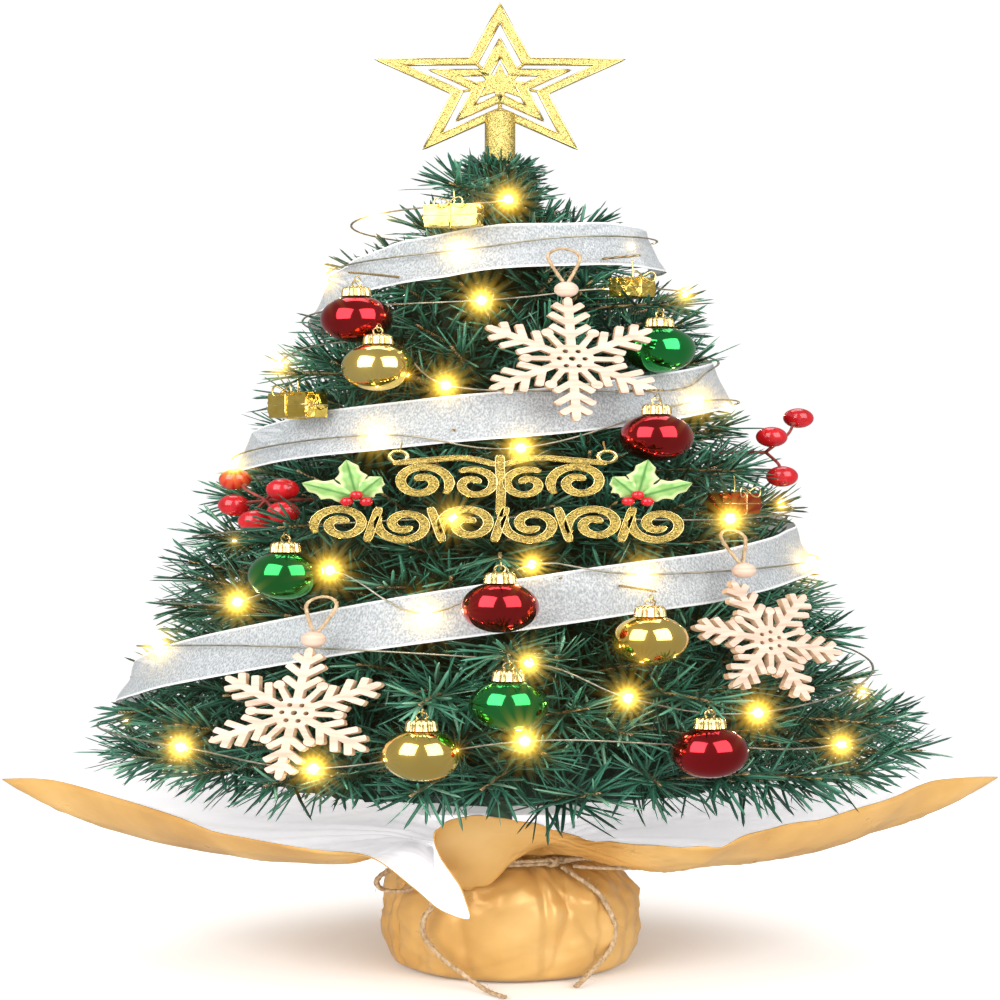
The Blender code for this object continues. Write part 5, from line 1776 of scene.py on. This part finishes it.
def stroke(points, half):
    """A flat cast stroke along a line in the sign's plane, chamfered, with round ends."""
    line = [Vector((x, 0, z)) for x, z in points]
    found, count = [], len(line)
    deep = SIGN_THICK / 2
    for i, here in enumerate(line):
        ahead = (line[min(i + 1, count - 1)] - line[max(i - 1, 0)]).normalized()
        side = Vector((-ahead.z, 0, ahead.x))
        ends = min(i, count - 1 - i)
        width = half * min(1.0, 0.55 + 0.25 * ends)
        for across, depth in STROKE_SECTION:
            found.append(here + side * across * width + Vector((0, depth * deep, 0)))
    faces = grid_faces(count, 8, wrap=True) + end_caps(8, len(found))
    return turned_out(mesh_of("stroke", found, faces))


def scroll(centre, radius, turns, start, hand):
    """A spiral from its eye outwards."""
    found = []
    steps = int(22 * turns)
    for i in range(steps + 1):
        t = i / steps
        angle = start + hand * 2 * math.pi * turns * t
        reach = radius * (0.16 + 0.84 * t**0.9)
        found.append((centre[0] + reach * math.cos(angle), centre[1] + reach * math.sin(angle)))
    return found


def sign_strokes():
    """Linked scrolls in two rows, with a leaf bud between each two."""
    lines = []
    pitch, low_z = 0.0222, 0.2757
    for k in range(6):
        x = -0.0555 + k * pitch
        hand = 1 if k % 2 == 0 else -1
        start = math.pi * 0.15 if hand == 1 else -math.pi * 0.15
        lines.append((scroll((x, low_z), 0.0100, 1.5, start, hand), 0.0019))
        if k < 5:
            bud = [
                (x + pitch / 2 - 0.0022, low_z - hand * 0.0095),
                (x + pitch / 2, low_z),
                (x + pitch / 2 + 0.0022, low_z + hand * 0.0095),
            ]
            lines.append((smooth_through(bud, 6), 0.0017))
    top_z = 0.2985
    for side in (-1, 1):
        start = math.pi * (0.2 if side > 0 else 0.8)
        lines.append((scroll((side * 0.0275, top_z), 0.0104, 1.5, start, side), 0.0019))
        start = math.pi * (0.9 if side > 0 else 0.1)
        lines.append((scroll((side * 0.0092, top_z - 0.001), 0.0086, 1.3, start, -side), 0.0017))
        brow = ((0.001, 0.3080), (0.012, 0.3118), (0.024, 0.3108), (0.0375, 0.3090))
        lines.append((smooth_through([(side * x, z) for x, z in brow], 8), 0.0014))
    lines.append((smooth_through([(0, 0.2800), (0.0004, 0.294), (0, 0.306), (0, 0.3135)], 6), 0.0017))
    return lines


def make_sign(finishes):
    """The scrolls, their bright rims, the two rings and threads, and the holly."""
    lines = sign_strokes()
    place = Matrix.Translation((0, SIGN_Y, 0))
    cast = [stroke(points, half) for points, half in lines]
    for mesh in cast:
        mesh.transform(place)
    cast = joined_mesh("sign", cast, 35)
    put("sign_scrollwork", cast, "sign", ["hanging_sign"], [finishes["glitter"]])
    rims = []
    for points, half in lines:
        for side in (-1, 1):
            edge = []
            count = len(points)
            for i in range(count):
                a, b = Vector(points[max(i - 1, 0)]), Vector(points[min(i + 1, count - 1)])
                ahead = (b - a).normalized()
                width = half * min(1.0, 0.55 + 0.25 * min(i, count - 1 - i))
                here = Vector(points[i]) + Vector((-ahead.y, ahead.x)) * side * width * 0.9
                edge.append((here.x, SIGN_Y - SIGN_THICK * 0.47, here.y))
            rims.append(wire("rim", edge, SIGN_RIM_R, 5))
    for x in SIGN_RINGS_X:
        ring = [(x + RING_R * math.sin(s), SIGN_Y, SIGN_RING_Z + RING_R * math.cos(s)) for s in angles(28)]
        rims.append(wire("ring", ring, RING_WIRE_R))
        thread = [
            (x, SIGN_Y, SIGN_RING_Z + 0.0030),
            (x * 0.99, SIGN_Y + 0.002, 0.3155),
            (x * 0.97, SIGN_Y + 0.006, SIGN_HANG_Z),
        ]
        rims.append(wire("thread", smooth_through(thread, 5), 0.0003, 6))
    put("sign_rims", joined_mesh("sign_rims", rims), "sign", (), [finishes["bright_gold"]])
    for name, x, side in HOLLY:
        make_holly(name, x, side, finishes)


def leaf_mesh(length, half, turn, side, centre, tip_lift):
    """A spiny leaf with a folded midrib, in the sign's plane."""
    along, over = 25, 9
    points, values = [], []
    for i in range(along):
        t = i / (along - 1)
        swell = math.sin(math.pi * min(1, 0.04 + t * 0.96)) ** 0.75
        spine = 1 + 0.42 * (abs(((t * 3.5 + 0.1) % 1) - 0.5) * 2) ** 1.6
        for k in range(over):
            s = -1 + 2 * k / (over - 1)
            width = half * swell * (0.62 * spine) * s
            dome = 0.0011 * (1 - abs(s)) + tip_lift * t * t - 0.0005 * abs(s) * math.sin(t * 11)
            x, z = length * t, width
            a = math.radians(turn)
            points.append(
                (
                    centre[0] + side * (x * math.cos(a) - z * math.sin(a)),
                    centre[1] - dome,
                    centre[2] + x * math.sin(a) + z * math.cos(a),
                )
            )
            values.append(abs(s))
    mesh = mesh_of("leaf", points, grid_faces(along, over))
    tag_points(mesh, "across", values)
    return mesh


def make_holly(name, x, side, finishes):
    face = SIGN_Y - SIGN_THICK / 2 - 0.0008
    leaves = []
    for turn, length, lift in ((22, 0.0205, 0.0012), (80, 0.0205, 0.0008), (128, 0.014, 0.0006)):
        stalk = (x, face - 0.0001 * len(leaves), HOLLY_Z)
        leaves.append(leaf_mesh(length, 0.0068, turn, side, stalk, lift))
    leaf = put(
        f"holly_{name}_leaves", joined_leaves(leaves), "sign", [f"holly_{name}"],
        [finishes["leaf"]],
    )
    thicken(leaf, LEAF_THICK)
    berries = []
    for dx, dz in ((0, 0.0012), (-0.0034, -0.0022), (0.0034, -0.0024)):
        centre = Vector((x + dx, face - 0.0022, HOLLY_Z + dz))
        berries.append(ball_mesh("berry", centre, 0.0024, 24, 16))
    fruit = joined_mesh("berries", berries)
    put(f"holly_{name}_berries", fruit, "sign", (), [finishes["berry"]])


def joined_leaves(meshes):
    """Leaves in one mesh that keeps their across attribute."""
    points, faces, values = [], [], []
    for mesh in meshes:
        start = len(points)
        points += [tuple(v.co) for v in mesh.vertices]
        faces += [tuple(start + i for i in p.vertices) for p in mesh.polygons]
        values += [item.value for item in mesh.attributes["across"].data]
        bpy.data.meshes.remove(mesh)
    made = mesh_of("leaves", points, faces)
    tag_points(made, "across", values)
    return made


# ---- berry picks ----
def make_picks(finishes):
    """Berries on stems that part from one elbow outside the needles."""
    for name, root, berries in BERRY_PICKS:
        elbow = around(*root, BERRY_ELBOW)
        fruit, stems = [], []
        base = around(*root, -0.02)
        stems.append(wire("stem", smooth_through([base, around(*root, -0.004), elbow], 5), 0.001))
        for azimuth, height, offset in berries:
            centre = around(azimuth, height, offset)
            way = (centre - elbow).normalized()
            bow = (elbow + centre) / 2 + outward(azimuth) * 0.002
            line = smooth_through([elbow, bow, centre - way * BERRY_R * 0.9], 6)
            stems.append(swept("stem", line, lambda i, share: circle(0.0008 - 0.0002 * share, 8)))
            stems.append(ball_mesh("calyx", centre - way * BERRY_R * 0.97, 0.0014, 12, 8))
            berry = ball_mesh("berry", Vector((0, 0, 0)), BERRY_R, 36, 24, (1, 1, 0.97))
            turn = way.to_track_quat("Z", "Y").to_matrix().to_4x4()
            fruit.append(moved(berry, Matrix.Translation(centre) @ turn))
            stems.append(ball_mesh("tip", centre + way * BERRY_R * 0.97, 0.0006, 10, 6))
        pick = f"berry_pick_{name}"
        put(f"{pick}_fruit", joined_mesh("fruit", fruit), "tree", [pick], [finishes["berry"]])
        put(f"{pick}_stems", joined_mesh("stems", stems), "tree", (), [finishes["stem"]])


# ---- CAD nodes that stay ----
def dress_nodes(finishes):
    """Finishes for the solids that are shown as they are."""
    for node, finish in (
        ("trunk_pole", "trunk"),
        ("base_pot", "pot"),
        ("plaster_weight", "plaster"),
        ("battery_case", "case"),
        ("battery_lid", "case"),
        ("power_switch", "switch"),
        ("battery_cell_front", "cell"),
        ("battery_cell_rear", "cell"),
    ):
        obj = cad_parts[node]
        obj.data.materials.clear()
        obj.data.materials.append(finishes[finish])


def all_finishes():
    made = {key: plain_finish(*row) for key, row in PLAIN_FINISHES.items()}
    made |= {
        "needle": needle_finish(),
        "gold_paper": gold_paper_finish(),
        "organza": organza_finish(),
        "glitter": glitter_finish(),
        "star_glitter": glitter_finish("star_glitter_cast", (0.66, 0.50, 0.16), 2600),
        "ball_red": ball_finish("red", (0.36, 0.003, 0.010), (0.55, 0.008, 0.018)),
        "ball_gold": ball_finish("gold", (0.92, 0.62, 0.12), (1.0, 0.78, 0.24)),
        "ball_green": ball_finish("green", (0.008, 0.26, 0.045), (0.015, 0.44, 0.09)),
        "leaf": leaf_finish(),
        "gold_foil": foil_finish("foil_gold", (0.80, 0.54, 0.08), (0.98, 0.76, 0.20)),
        "red_foil": foil_finish("foil_red", (0.55, 0.03, 0.02), (0.85, 0.14, 0.06)),
        "lamp": lamp_finish(),
        "pot": moulded_finish("pot_plastic_black", (0.04, 0.04, 0.04)),
        "case": moulded_finish("case_plastic_white", (0.80, 0.80, 0.78)),
        "switch": moulded_finish("switch_plastic_black", (0.06, 0.06, 0.06)),
    }
    return made


def main():
    finishes = all_finishes()
    make_camera()
    make_stage()
    make_lights(finishes)
    make_twine(finishes)
    make_foliage(finishes)
    make_wrapper(finishes)
    make_ribbon(finishes["organza"])
    make_star(finishes)
    make_balls(finishes)
    make_flakes(finishes)
    make_packs(finishes)
    make_sign(finishes)
    make_picks(finishes)
    dress_nodes(finishes)
    make_glare()


main()
